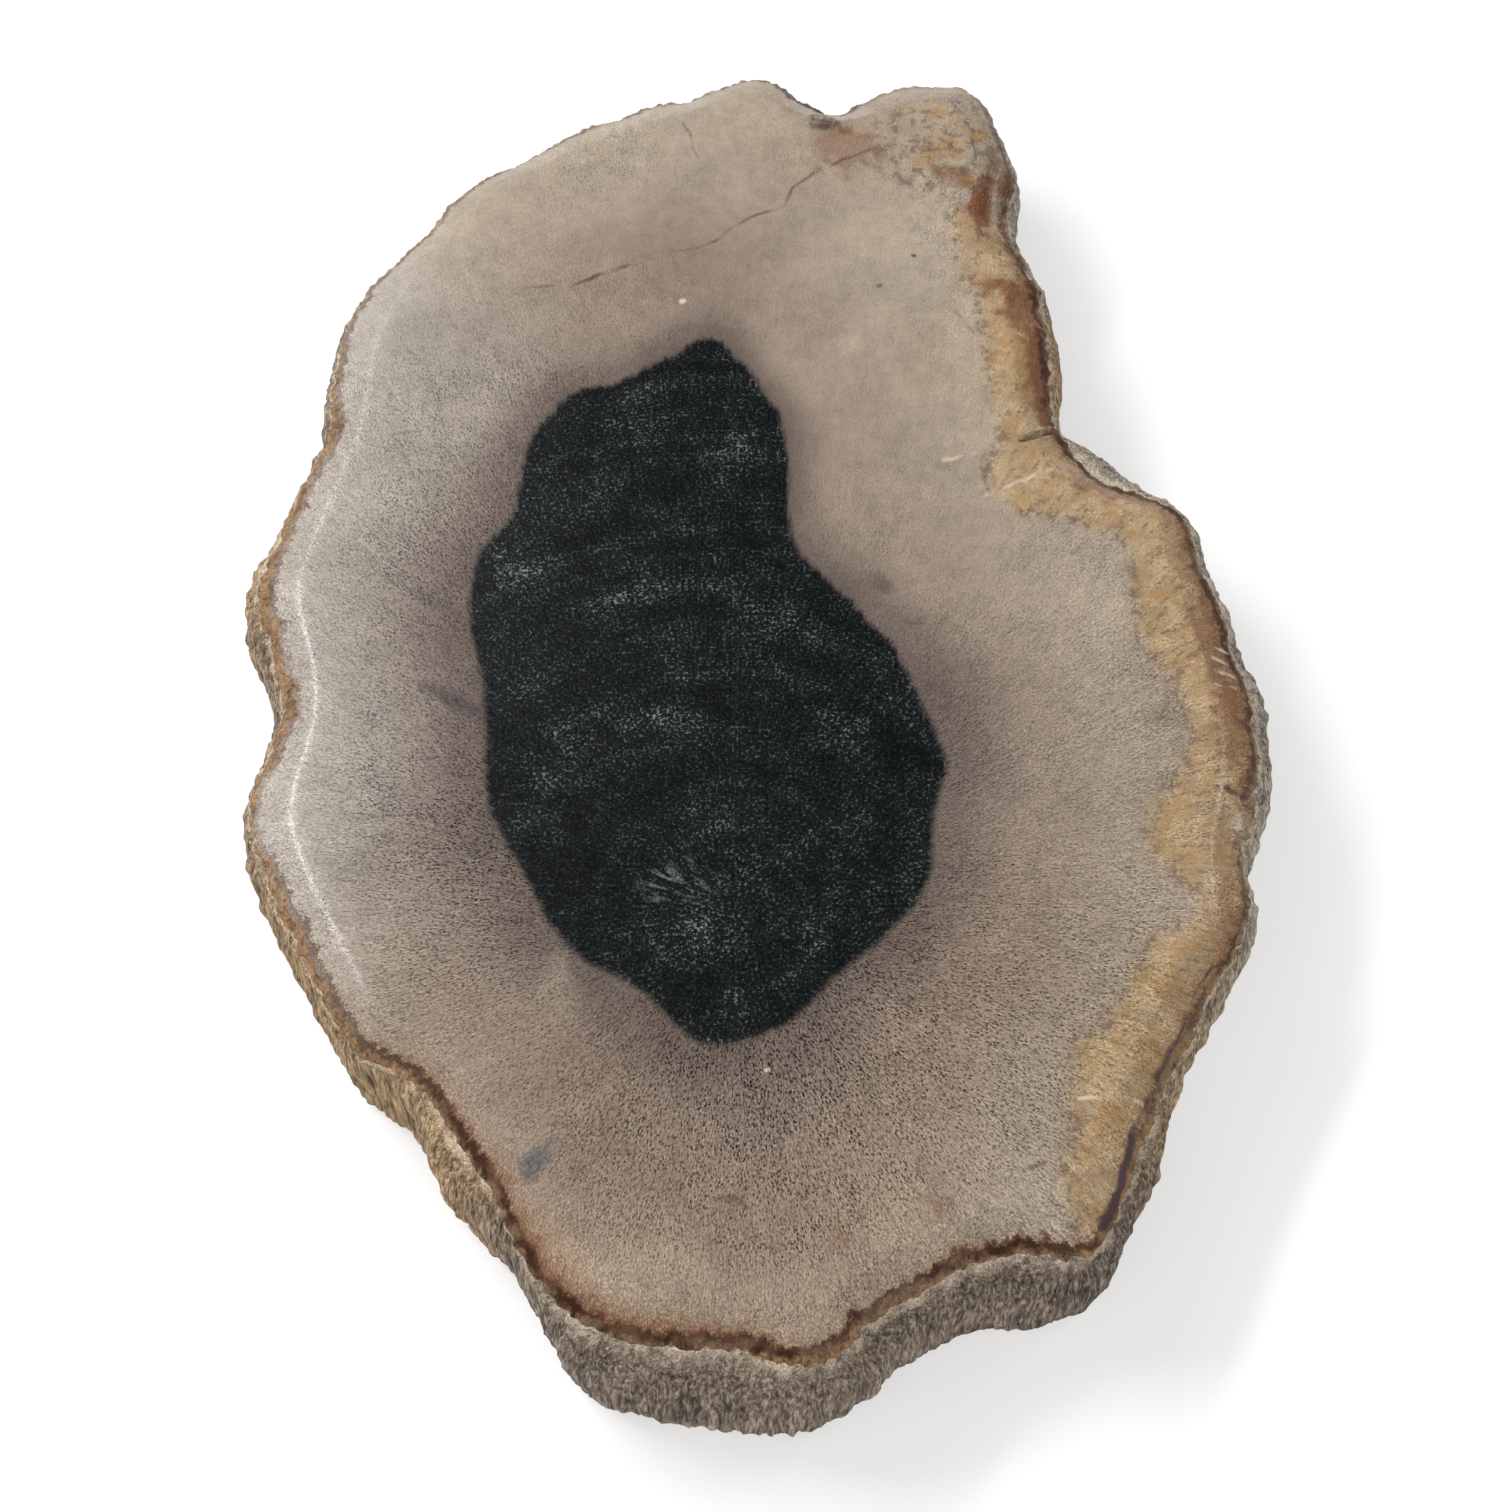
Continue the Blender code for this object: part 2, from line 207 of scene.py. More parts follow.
# fine marks: points, half width, tone, strength
MARKS = [
    ([(-9, 70.5), (-7.3, 67), (-6, 62.8)], 0.12, "vein dark", 0.5),
    ([(-27.5, 43.2), (-25, 44.8), (-22.5, 45.3), (-20.2, 45.2)], 0.22, "rust", 0.55),
    ([(-20.2, 45.2), (-18, 46.2), (-15, 47.5)], 0.26, "vein dark", 0.8),
    ([(-15, 47.5), (-10, 49.8), (-5, 51), (0, 55), (3.5, 56.5), (5, 59.5), (9, 62.3), (13.5, 64.7)],
     0.2, "vein dark", 0.6),
    ([(-45.5, 26.6), (-42, 25.6), (-38.5, 25.3), (-35.5, 25.8)], 0.12, "umber", 0.5),
    ([(-18, -35), (-18.5, -39), (-17, -43), (-15, -45)], 0.12, "cream", 0.3),
    ([(22.5, 42), (24.5, 38), (25.8, 32.5)], 0.25, "vein dark", 0.45),
    ([(31, -50.3), (34, -50.5)], 0.2, "cream", 0.8),
    ([(35, -50.3), (37, -51)], 0.2, "cream", 0.8),
    ([(20.5, 22), (24, 23)], 0.22, "cream", 0.7),
    ([(25, 17.5), (30, 20)], 0.22, "cream", 0.7),
    ([(-5.3, -63.2), (-4.2, -61.3), (-3, -60.3), (-1.4, -60.3), (-0.2, -61.2)], 0.3, "vein dark", 0.5),
    ([(-27, 53), (-25.5, 51)], 0.14, "vein dark", 0.3),
    ([(-22, 54), (-21, 53.4)], 0.14, "vein dark", 0.3),
    ([(-20, 53.6), (-19.3, 53)], 0.14, "vein dark", 0.3),
    ([(-24.5, 50.8), (-20.5, 48)], 0.14, "vein dark", 0.3),
    ([(-24, 59), (-22.5, 58)], 0.14, "vein dark", 0.3),
    ([(-19, 62.5), (-18, 60.5)], 0.14, "vein dark", 0.3),
    ([(17.5, -59), (20.5, -63.5)], 0.18, "vein dark", 0.45),
    ([(24.5, 22.3), (25.3, 18.5), (28.5, 15.5)], 0.4, "vein dark", 0.5),
    ([(40, 11), (39.6, 1), (41, -2.5), (42.5, -4), (42.3, -8)], 0.35, "vein dark", 0.4),
    ([(-50, 10), (-48, 17.5)], 0.3, "rust", 0.6),
    ([(-48, 17.5), (-46.8, 16)], 0.2, "rust", 0.7),
    ([(30.7, -44.5), (30.9, -44.4)], 0.35, "vein dark", 0.7),
    ([(27.3, -56.7), (25.5, -57.5)], 0.3, "vein dark", 0.6),
    ([(18, 49.5), (18.2, 49.5)], 0.25, "vein dark", 0.7),
    ([(14, 45.3), (14.2, 45.3)], 0.25, "vein dark", 0.7),
    ([(35.8, -7.7), (36.5, -10)], 0.3, "vein dark", 0.5),
    ([(-7.7, 43.2), (-7.5, 43.2)], 0.25, "cream", 0.9),
    ([(1.5, -47.5), (1.6, -47.5)], 0.25, "cream", 0.9),
    ([(-21.3, -58.0), (-20.6, -58.1), (-19.6, -57.0)], 0.2, "umber", 0.6),
    ([(-21.2, -57.0), (-20.2, -55.9), (-19.0, -55.4)], 0.15, "umber", 0.4),
    ([(29, 24.7), (32.3, 26)], 0.3, "umber", 1.0),  # slit, with a painted highlight along its upper edge
    # painted highlight on the slit's upper edge
    ([(29.4, 25.5), (32.2, 26.6)], 0.12, "cream", 0.9),
    ([(47.3, -1.0), (49.3, -1.8)], 0.12, "cream", 0.7),
    ([(47.2, -2.4), (49.4, -3.2)], 0.12, "cream", 0.7),
    ([(47.3, -3.9), (49.6, -4.6)], 0.12, "cream", 0.7),
    ([(47.6, -5.4), (49.6, -6.0)], 0.12, "cream", 0.6),
    ([(47.6, -17.4), (48.6, -18.2), (49.8, -18.4)], 0.3, "umber", 0.9),
    ([(24.0, 61.5), (25.5, 63.5), (25.2, 66.5)], 0.18, "umber", 0.6),
    ([(21.5, 66.5), (24.0, 64.0), (27.0, 63.2)], 0.16, "umber", 0.5),
    ([(26.0, 59.8), (28.0, 60.4)], 0.3, "umber", 0.6),
    ([(27.5, 49.5), (29.5, 48.8), (31.2, 46.8)], 0.15, "cream", 0.7),
    ([(30.2, 40.2), (32.6, 39.8)], 0.15, "cream", 0.6),
    ([(28.6, 50.6), (31.0, 48.2)], 0.2, "umber", 0.6),
    # the two lines below are a painted dark reflection along the right rounding
    ([(45, -37), (43, -40), (41, -44.5), (39, -48), (37.5, -51), (36, -54.5)], 0.22, "reflection", 0.8),
    ([(36, -54.5), (35, -58), (34, -61), (32.7, -63.5)], 0.5, "reflection", 0.8),  # painted dark reflection along the right rounding
]
SLIT = [(29, 24.7), (32.3, 26)]
SLIT_HALF, SLIT_DEPTH = 0.28, 0.8

# stations round the rim, where the rust line runs: x, y, how far in its dark core lies, half width of the
# core, width of the fringe inside it, strength of the core, strength of the brown outside it
RUST_STATIONS = [
    (51, -10, 0.5, 0.30, 2.6, 0.85, 0.5), (50, -22, 0.4, 0.25, 1.2, 0.5, 0.3),
    (47, -33, 0.4, 0.3, 2.2, 0.8, 0.6), (42, -45, 0.7, 0.3, 1.6, 0.6, 0.9),
    (38, -55, 0.7, 0.3, 1.2, 0.5, 0.9), (34, -63, 0.7, 0.35, 0.9, 0.7, 0.9),
    (30, -65, 0.7, 0.38, 1.0, 0.85, 0.9), (25, -65, 0.7, 0.5, 1.2, 1.0, 0.9),
    (18, -66, 0.8, 0.5, 1.1, 1.0, 0.9), (15, -68, 0.9, 0.34, 0.8, 0.75, 0.9),
    (10, -71, 0.8, 0.36, 0.8, 0.85, 0.9), (7, -74, 1.1, 0.45, 1.0, 0.95, 1.0),
    (2, -75, 0.9, 0.5, 1.4, 1.0, 1.0), (-8, -74, 0.6, 0.52, 2.4, 1.0, 0.9),
    (-15, -72, 0.6, 0.52, 2.8, 1.0, 0.9), (-21, -65, 0.6, 0.5, 2.4, 1.0, 0.8),
    (-28, -55, 0.7, 0.48, 1.6, 0.95, 0.9), (-37, -47, 1.0, 0.42, 0.8, 0.75, 1.0),
    (-43, -36, 1.2, 0.36, 0.6, 0.6, 1.0), (-47, -28, 1.3, 0.32, 0.5, 0.45, 1.0),
    (-50, -21, 0.6, 0.25, 0.4, 0.3, 1.0), (-51, -15, 1.2, 0.3, 0.5, 0.4, 1.0),
    (-48, -8, 1.8, 0.3, 0.6, 0.35, 1.0), (-49, 0, 1.4, 0.3, 0.5, 0.3, 1.0),
    (-51, 5, 1.6, 0.35, 0.6, 0.4, 1.0), (-49, 16, 1.2, 0.3, 0.5, 0.35, 1.0),
    (-46, 26, 1.5, 0.35, 0.7, 0.4, 1.0), (-44, 36, 0.6, 0.3, 0.6, 0.5, 0.9),
    (-37, 52, 0.4, 0.3, 0.6, 0.5, 0.8), (-25, 63, 0.4, 0.3, 0.6, 0.5, 0.7),
    (-10, 71, 0.3, 0.3, 0.5, 0.5, 0.5), (0, 74.5, 0.4, 0.3, 0.5, 0.6, 0.5),
    (6, 70, 0.6, 0.45, 0.8, 0.9, 0.8), (10, 69, 0.5, 0.4, 0.8, 0.8, 0.8),
    (15, 71, 0.2, 0.2, 0.4, 0.15, 0.3), (24, 71, 0.2, 0.2, 0.4, 0.15, 0.3),
    (28, 62, 0.5, 0.3, 1.0, 0.5, 0.5), (28, 53, 0.6, 0.35, 1.8, 0.7, 0.6),
    (32, 44, 0.6, 0.4, 2.4, 1.0, 0.7), (33, 32, 0.5, 0.4, 2.6, 1.0, 0.6),
    (35, 22, 0.5, 0.4, 1.2, 0.95, 0.7), (44, 16, 0.5, 0.4, 1.8, 0.95, 0.7),
    (48, 8, 0.5, 0.4, 2.2, 0.95, 0.6), (50.5, 0, 0.5, 0.35, 2.6, 0.9, 0.6),
]

# stations round the heart: x, y, how far its shadow reaches into the band
HALO_STATIONS = [
    (19, -12, 10.5), (18, -25, 9), (10, -37, 9), (0, -44, 11), (-10, -41, 10), (-20, -32, 9), (-26, -18, 9),
    (-28, 0, 9), (-27, 14, 8), (-22, 28, 7), (-12, 33, 6), (-4, 38, 6), (2, 28, 4), (4, 16, 5), (10, 5, 8),
    (16, -4, 10),
]

# how strong the fine grain shows: x, y, strength
GRAIN_AT = [
    (-18, 64, 1.0), (-5, 62, 0.45), (10, 64, 0.7), (22, 66, 0.8), (-28, 55, 0.45), (-14, 56, 0.3),
    (0, 54, 0.35), (14, 54, 0.45), (26, 55, 1.4), (-38, 42, 0.6), (-26, 44, 0.7), (-12, 44, 0.7),
    (2, 42, 0.55), (16, 42, 0.45), (28, 42, 0.9), (-40, 28, 1.2), (-28, 28, 1.3), (10, 28, 0.45),
    (20, 28, 0.45), (30, 26, 0.8), (-42, 12, 1.2), (-34, 10, 1.7), (12, 14, 0.8), (22, 12, 0.55),
    (34, 12, 1.1), (44, 10, 1.0), (-44, -4, 1.2), (-34, -6, 1.4), (20, -2, 1.2), (30, -4, 1.1),
    (40, -6, 1.6), (48, -6, 1.2), (-44, -18, 1.2), (-34, -18, 1.6), (-27, -24, 2.2), (24, -16, 1.7),
    (34, -18, 1.2), (46, -18, 1.5), (-38, -32, 1.2), (-28, -34, 1.7), (20, -30, 1.8), (30, -32, 1.5),
    (40, -32, 1.6), (-30, -46, 1.4), (-18, -44, 1.2), (-8, -50, 2.0), (2, -52, 2.3), (12, -48, 2.1),
    (22, -46, 1.7), (32, -46, 1.5), (-18, -58, 1.4), (-6, -62, 1.5), (6, -60, 1.7), (18, -58, 1.4),
    (28, -56, 1.5), (-10, -70, 1.4), (4, -70, 1.5), (16, -66, 1.8),
]

# stations round the wall: x, y, tone of the bark there
WALL_STATIONS = [
    (51, -8, "bark pale"), (49, -28, "bark pale"), (41, -47, "tan"), (36, -62, "bark dark"),
    (24, -68, "bark"), (5, -75, "bark"), (-12, -73, "bark"), (-21, -64, "bark"), (-28, -56, "tan"),
    (-38, -46, "tan"), (-46, -30, "tan"), (-50, -8, "bark"), (-50, 10, "tan"), (-45, 32, "bark"),
    (-35, 54, "bark"), (-15, 68, "bark"), (5, 72, "bark dark"), (20, 72, "bark pale"),
    (29, 58, "bark pale"), (33, 36, "tan"), (36, 22, "bark pale"), (46, 14, "bark pale"),
    (50, 2, "bark pale"),
]

FACE, WALL, UNDERSIDE = 0, 1, 2


# ---------------------------------------------------------------- settings


class SliceSizes(bpy.types.PropertyGroup):
    """Sizes that the slice's mesh is made with."""

    points_around: IntProperty(
        name="Points around", description="Mesh points round the rim", default=1440, min=300, max=2400
    )
    face_spacing: FloatProperty(
        name="Face spacing", description="Distance between mesh points on the face",
        default=0.0009, min=0.0005, max=0.003, unit="LENGTH",
    )
    mark_spacing: FloatProperty(
        name="Mark spacing", description="Distance between mesh points along the fine marks",
        default=0.00025, min=0.0001, max=0.001, unit="LENGTH",
    )
    rounding_width: FloatProperty(
        name="Rounding width", description="Width of the polished slope from the face down to the rim",
        default=0.005, min=0.002, max=0.008, unit="LENGTH",
    )
    bark_relief: FloatProperty(
        name="Bark relief", description="Height of the ridges that run down the bark",
        default=0.00045, min=0.0, max=0.001, unit="LENGTH",
    )


def colour(name, description, value):
    """A colour setting."""
    return FloatVectorProperty(
        name=name, description=description, default=value, subtype="COLOR", size=3, min=0.0, max=1.0
    )


class SliceColours(bpy.types.PropertyGroup):
    """Tones of the stone."""

    heart: colour("Heart", "Dark stone in the middle", (0.0068, 0.0092, 0.0096))
    speckle: colour("Heart speckle", "Fine green-grey grains in the heart", (0.19, 0.25, 0.235))
    speckle_warm: colour("Warm speckle", "Fine brown-grey grains in the heart", (0.26, 0.25, 0.245))
    near_heart: colour("Near heart", "Shadow in the stone next to the heart", (0.130, 0.100, 0.086))
    dusk: colour("Dusk", "Darker brown-grey stone", (0.205, 0.158, 0.128))
    band: colour("Band", "Brown-grey stone between heart and rim", (0.27, 0.213, 0.165))
    light: colour("Light band", "Lighter brown-grey stone", (0.315, 0.256, 0.199))
    pale: colour("Pale band", "Pale stone towards the rim", (0.375, 0.309, 0.241))
    rose_dusk: colour("Rose dusk", "Darker rose-grey stone on the left", (0.198, 0.16, 0.136))
    rose: colour("Rose", "Rose-grey stone on the left", (0.29, 0.248, 0.21))
    # frost: paler stone of the left rim, with a painted sheen from the left lights laid into it
    frost: colour("Frost", "Cool pale stone at the left rim", (0.40, 0.355, 0.31))
    warm_dusk: colour("Warm dusk", "Darker warm stone", (0.225, 0.17, 0.13))
    warm: colour("Warm", "Warm brown stone on the near side", (0.26, 0.197, 0.148))
    warm_light: colour("Warm light", "Lighter warm stone", (0.315, 0.243, 0.178))
    pale_gold: colour("Pale gold", "Pale stone next to the golden band", (0.40, 0.318, 0.228))
    cream: colour("Cream", "Pale veins and chips", (0.60, 0.50, 0.38))
    slate: colour("Slate", "Blue-grey inclusion", (0.125, 0.12, 0.115))
    gold: colour("Gold", "Golden band on the right", (0.445, 0.315, 0.18))
    ochre: colour("Ochre", "Orange-brown stain", (0.35, 0.21, 0.09))
    rust: colour("Rust", "Red-brown stain", (0.165, 0.064, 0.031))
    rust_tan: colour("Rusty tan", "Brown stone outside the rust line", (0.235, 0.14, 0.072))
    rust_dark: colour("Dark rust", "Core of the rust line", (0.04, 0.0135, 0.006))
    # a painted dark reflection on the right rounding, laid on as a mark
    reflection: colour("Purple", "Glossy line on the right rounding", (0.075, 0.045, 0.052))
    vein_dark: colour("Dark vein", "Fine cracks", (0.095, 0.066, 0.05))
    olive: colour("Olive", "Dull brown patches of the golden band", (0.235, 0.17, 0.105))
    umber: colour("Umber", "Dark spots and streaks", (0.085, 0.062, 0.048))
    plum: colour("Plum", "Purple-grey shadow beside the heart", (0.075, 0.058, 0.06))
    bark: colour("Bark", "Stone bark of the wall", (0.225, 0.172, 0.13))
    bark_dark: colour("Dark bark", "Darker bark", (0.165, 0.124, 0.097))
    bark_pale: colour("Pale bark", "Paler bark", (0.38, 0.33, 0.265))
    bark_fleck: colour("Bark fleck", "Pale fibres in the bark", (0.50, 0.42, 0.33))
    crust: colour("Crust", "Pale broken edge at the top of the bark", (0.74, 0.63, 0.48))
    tan: colour("Tan", "Golden granular bark", (0.34, 0.225, 0.12))


class StageSettings(bpy.types.PropertyGroup):
    """Camera, light and floor."""

    lens: FloatProperty(
        name="Lens", description="Focal length of the camera, in millimetres", default=65.0, min=20, max=200
    )
    elevation: FloatProperty(
        name="Elevation", description="Height of the camera above the horizon",
        default=math.radians(62.0), subtype="ANGLE",
    )
    distance: FloatProperty(
        name="Distance", description="From the camera to the face", default=0.275, unit="LENGTH"
    )
    floor: colour("Floor", "Plain pale floor", (0.50, 0.50, 0.50))
    floor_glow: FloatProperty(
        name="Floor glow", description="Light that the floor gives off, which softens the shadows on it",
        default=0.5, min=0.0, max=2.0,
    )


# ---------------------------------------------------------------- shapes on the plane


def blend(low, high, value):
    """0 below low, 1 above high, and smooth between them."""
    share = np.clip((value - low) / (high - low), 0.0, 1.0)
    return share * share * (3 - 2 * share)


def eased(line, count=6):
    """A line of points with a smooth curve through them."""
    line = np.array(line, float)
    if len(line) < 3:
        return line
    ends = np.vstack([2 * line[0] - line[1], line, 2 * line[-1] - line[-2]])
    rows = []
    for a, b, c, d in zip(ends, ends[1:], ends[2:], ends[3:]):
        for t in np.linspace(0, 1, count, endpoint=False):
            rows.append(0.5 * (2 * b + (c - a) * t + (2 * a - 5 * b + 4 * c - d) * t**2
                               + (3 * b - a - 3 * c + d) * t**3))
    return np.array(rows + [line[-1]])


def line_distance(points, line):
    """Distance from each point to an open line of points."""
    nearest = np.full(len(points), FAR_AWAY)
    line = np.asarray(line, float)
    for start, end in zip(line[:-1], line[1:]):
        run = end - start
        share = np.clip(((points - start) @ run) / max(run @ run, 1e-12), 0, 1)
        gap = points - start - share[:, None] * run
        nearest = np.minimum(nearest, np.hypot(gap[:, 0], gap[:, 1]))
    return nearest


def inside(points, outline):
    """True for each point inside a closed outline."""
    found = np.zeros(len(points), bool)
    outline = np.asarray(outline, float)
    for start, end in zip(outline, np.roll(outline, -1, 0)):
        if start[1] == end[1]:
            continue
        spans = (start[1] > points[:, 1]) != (end[1] > points[:, 1])
        cross = start[0] + (points[:, 1] - start[1]) * (end[0] - start[0]) / (end[1] - start[1])
        found ^= spans & (points[:, 0] < cross)
    return found


def depth_inside(points, outline):
    """Distance to a closed outline, above 0 inside it and below 0 outside."""
    closed = np.vstack([outline, outline[:1]])
    gap = line_distance(points, closed)
    return np.where(inside(points, outline), gap, -gap)


def softened(outline, step=0.8, reach=0.9):
    """A closed outline resampled at even steps, with its corners eased."""
    closed = np.vstack([outline, outline[:1]]).astype(float)
    along = np.concatenate([[0], np.cumsum(np.hypot(*np.diff(closed, axis=0).T))])
    count = int(along[-1] / step)
    at = np.linspace(0, along[-1], count, endpoint=False)
    even = np.column_stack([np.interp(at, along, closed[:, k]) for k in (0, 1)])
    width = max(1, int(round(reach / step)))
    total = sum(np.roll(even, shift, 0) for shift in range(-width, width + 1))
    return total / (2 * width + 1)


def oval(points, x, y, half_width, half_height, turn):
    """Distance from the middle of a turned oval, where 1 is its edge."""
    angle = math.radians(turn)
    across = points - np.array([x, y])
    u = across[:, 0] * math.cos(angle) + across[:, 1] * math.sin(angle)
    v = -across[:, 0] * math.sin(angle) + across[:, 1] * math.cos(angle)
    return np.hypot(u / half_width, v / half_height)


def waves(points, scale, depth=1.0, seed=0.0):
    """Noise from -1 to 1 at each point, its waves scale mm apart and stretched by depth down the wall."""
    return np.array(
        [noise.noise(Vector((p[0] / scale + seed, p[1] / scale, p[2] / (scale * depth)))) for p in points]
    )


def bearings(points):
    """Bearing of each point from the core."""
    arm = points[:, :2] - CORE
    return np.arctan2(arm[:, 1], arm[:, 0])


def round_table(stations, column, at):
    """A value that stations give round the rim, read at the bearings at."""
    places = bearings(np.array([s[:2] for s in stations], float))
    order = np.argsort(places)
    values = np.array([stations[i][column] for i in order], float)
    return np.interp(at, places[order], values, period=2 * math.pi)


def blended(points, stations, values):
    """Values that stations on the face give, blended smoothly at each point."""
    places = np.array([s[:2] for s in stations], float)
    gaps = ((points[:, None, :] - places[None]) ** 2).sum(2)
    weights = np.exp((gaps.min(1)[:, None] - gaps) / (2 * TONE_REACH**2))
    return ((weights @ values).T / weights.sum(1)).T


def lattice(low, high, step, row, nudge, seed):
    """Points in rows over a rectangle, every other row half a step along, each point nudged a little."""
    rng = np.random.default_rng(seed)
    points = np.stack(np.meshgrid(np.arange(low[0], high[0], step), np.arange(low[1], high[1], row)), -1)
    points[1::2, :, 0] += step / 2
    points = points.reshape(-1, 2)
    return points + rng.uniform(-nudge, nudge, points.shape) * step


# ---------------------------------------------------------------- the slice's mesh


def frame_rings():
    """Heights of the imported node's rings, and for each one its radius from the core by bearing."""
    points = np.array([v.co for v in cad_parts[NODE].data.vertices]) * MM
    heights = np.unique(np.round(points[:, 2], 2))
    rings = []
    for height in heights:
        ring = points[np.abs(points[:, 2] - height) < 0.01]
        arm = ring[:, :2] - CORE
        place = np.arctan2(arm[:, 1], arm[:, 0])
        order = np.argsort(place)
        rings.append((place[order], np.hypot(arm[order, 0], arm[order, 1])))
    return heights, rings


def curve_through(at, places, values):
    """Smooth values at the places at, through rows of values, without overshoot."""
    steps = np.diff(places)
    slopes = np.diff(values, axis=0) / steps[:, None]
    joined = slopes[:-1] * slopes[1:] > 0
    middle = np.where(joined, 2 * slopes[:-1] * slopes[1:] / (slopes[:-1] + slopes[1:] + 1e-12), 0)
    tangents = np.vstack([slopes[:1], middle, slopes[-1:]])
    rows = []
    for value in at:
        k = int(np.clip(np.searchsorted(places, value, side="right") - 1, 0, len(steps) - 1))
        t = (value - places[k]) / steps[k]
        rows.append(
            (2 * t**3 - 3 * t**2 + 1) * values[k]
            + (t**3 - 2 * t**2 + t) * steps[k] * tangents[k]
            + (3 * t**2 - 2 * t**3) * values[k + 1]
            + (t**3 - t**2) * steps[k] * tangents[k + 1]
        )
    return np.array(rows)


# heights of the rings down the wall, in mm
WALL_HEIGHTS = [0.0, 0.3, 0.8, 1.5, 2.2, 3.0, 3.8, 4.6, 5.4, 6.2, 7.0, 7.8, 8.6, 9.4, 10.2, 11.0, 11.8, 12.5,
                13.2, 13.8, 14.3, 14.7, 15.0, 15.25, RIM]
# the rounding, from the rim inwards: share of its width, share of its rise
ROUNDING = [(0.0, 0.0), (0.04, 0.09), (0.09, 0.18), (0.14, 0.26), (0.20, 0.34), (0.27, 0.42), (0.34, 0.50),
            (0.41, 0.575), (0.48, 0.65), (0.55, 0.72), (0.62, 0.79), (0.69, 0.86), (0.76, 0.92),
            (0.83, 0.965), (0.90, 0.99), (1.0, 1.0)]
FRAME_SHARES = np.array([0.0, 0.22, 0.60, 1.0])  # where the frame's own rings lie across the rounding
FINE_BEARINGS = 7200  # how many bearings the rim's length is measured with
RING_PASSES = 3  # how many times the frame's corners are eased along each ring
LATTICE_ROW = 0.866  # rows of even triangles lie this share of a step apart
MARK_SEARCH = 1.5  # how far beyond a mark's points its surroundings are looked at, in mm
MARK_HALO = 0.6  # the closer mesh points reach this far past a mark's edge, in mm
MARK_CLEAR = 0.7  # the even mesh points stay this far from a mark's edge, in mm
SHOULDER_CLEAR = 0.5  # the closer mesh points stay this far inside the face, in mm
BARK_FADE = 1.3  # the bark's relief dies away over this much of the rounding, in mm
BASE_STEP, BASE_ROW = 2.0, 1.75  # mesh points of the underside, in mm


def slice_rings(sizes):
    """Rings of points from the underside's edge up the wall and over the rounding to the face."""
    heights, rings = frame_rings()
    start, radius = rings[int(np.argmin(np.abs(heights - RIM)))]
    fine = np.linspace(-math.pi, math.pi, FINE_BEARINGS, endpoint=False)
    r = np.interp(fine, start, radius, period=2 * math.pi)
    outline = CORE + np.column_stack([r * np.cos(fine), r * np.sin(fine)])
    closed = np.vstack([outline, outline[:1]])
    along = np.concatenate([[0], np.cumsum(np.hypot(*np.diff(closed, axis=0).T))])
    even = np.linspace(0, along[-1], sizes.points_around, endpoint=False)
    around = np.interp(even, along, np.append(fine, math.pi))
    table = []
    for place, radius in rings:
        row = np.interp(around, place, radius, period=2 * math.pi)
        for _ in range(RING_PASSES):
            row = (np.roll(row, 1) + 2 * row + np.roll(row, -1)) / 4
        table.append(row)
    table = np.array(table)
    low = heights <= RIM + 0.01
    wall = curve_through(WALL_HEIGHTS, heights[low], table[low])
    top = curve_through([share for share, _ in ROUNDING[1:]], FRAME_SHARES, table[heights >= RIM - 0.01])
    radii = np.vstack([wall, top])
    levels = np.array(WALL_HEIGHTS + [RIM + (TOP - RIM) * rise for _, rise in ROUNDING[1:]])
    direction = np.column_stack([np.cos(around), np.sin(around)])
    grid = np.empty((len(levels), len(around), 3))
    grid[:, :, :2] = CORE + radii[:, :, None] * direction
    grid[:, :, 2] = levels[:, None]
    return grid


def outward(ring):
    """Outward direction at each point of an anticlockwise ring."""
    run = np.roll(ring, -2, 0) - np.roll(ring, 2, 0)
    side = np.column_stack([run[:, 1], -run[:, 0]])
    return side / np.linalg.norm(side, axis=1)[:, None]


def bark_relief(points, height):
    """Ridges, lumps and pits of the bark, in mm, at each point of the wall."""
    ridges = waves(points, 0.75, 9.0) + 0.55 * waves(points, 0.42, 8.0, 7.0)
    lumps = waves(points, 3.6, 1.6, 3.0) + 0.6 * waves(points, 1.6, 1.4, 11.0)
    pits = np.clip(waves(points, 1.1, 2.6, 19.0) - 0.25, 0, None)
    return height * (0.75 * ridges + 0.9 * lumps - 1.6 * pits)


def mark_reach(points):
    """Distance from each point to the edge of the nearest fine mark, in mm, near the marks."""
    reach = np.full(len(points), FAR_AWAY)
    for line, half_width, _, _ in MARKS:
        line = eased(line)
        near = np.all((points > line.min(0) - MARK_SEARCH) & (points < line.max(0) + MARK_SEARCH), axis=1)
        reach[near] = np.minimum(reach[near], line_distance(points[near], line) - half_width)
    return reach


def face_mesh_points(grid, sizes):
    """Mesh points on the flat face: an even lattice, and closer points along the fine marks."""
    shoulder = grid[-1, :, :2]
    low, high = shoulder.min(0), shoulder.max(0)
    edge = shoulder[::4]
    step = sizes.face_spacing * MM
    even = lattice(low, high, step, step * LATTICE_ROW, 0.12, 1)
    even = even[depth_inside(even, edge) > step * 0.6]
    even = even[mark_reach(even) > MARK_CLEAR]
    step = sizes.mark_spacing * MM
    close = lattice(low, high, step, step * LATTICE_ROW, 0.12, 2)
    close = close[mark_reach(close) < MARK_HALO]
    close = close[depth_inside(close, edge) > SHOULDER_CLEAR]
    return np.vstack([even, close])


def base_mesh_points(grid):
    """Mesh points on the underside."""
    ring = grid[0, :, :2]
    points = lattice(ring.min(0), ring.max(0), BASE_STEP, BASE_ROW, 0.1, 3)
    return points[depth_inside(points, ring[::4]) > 1.0]


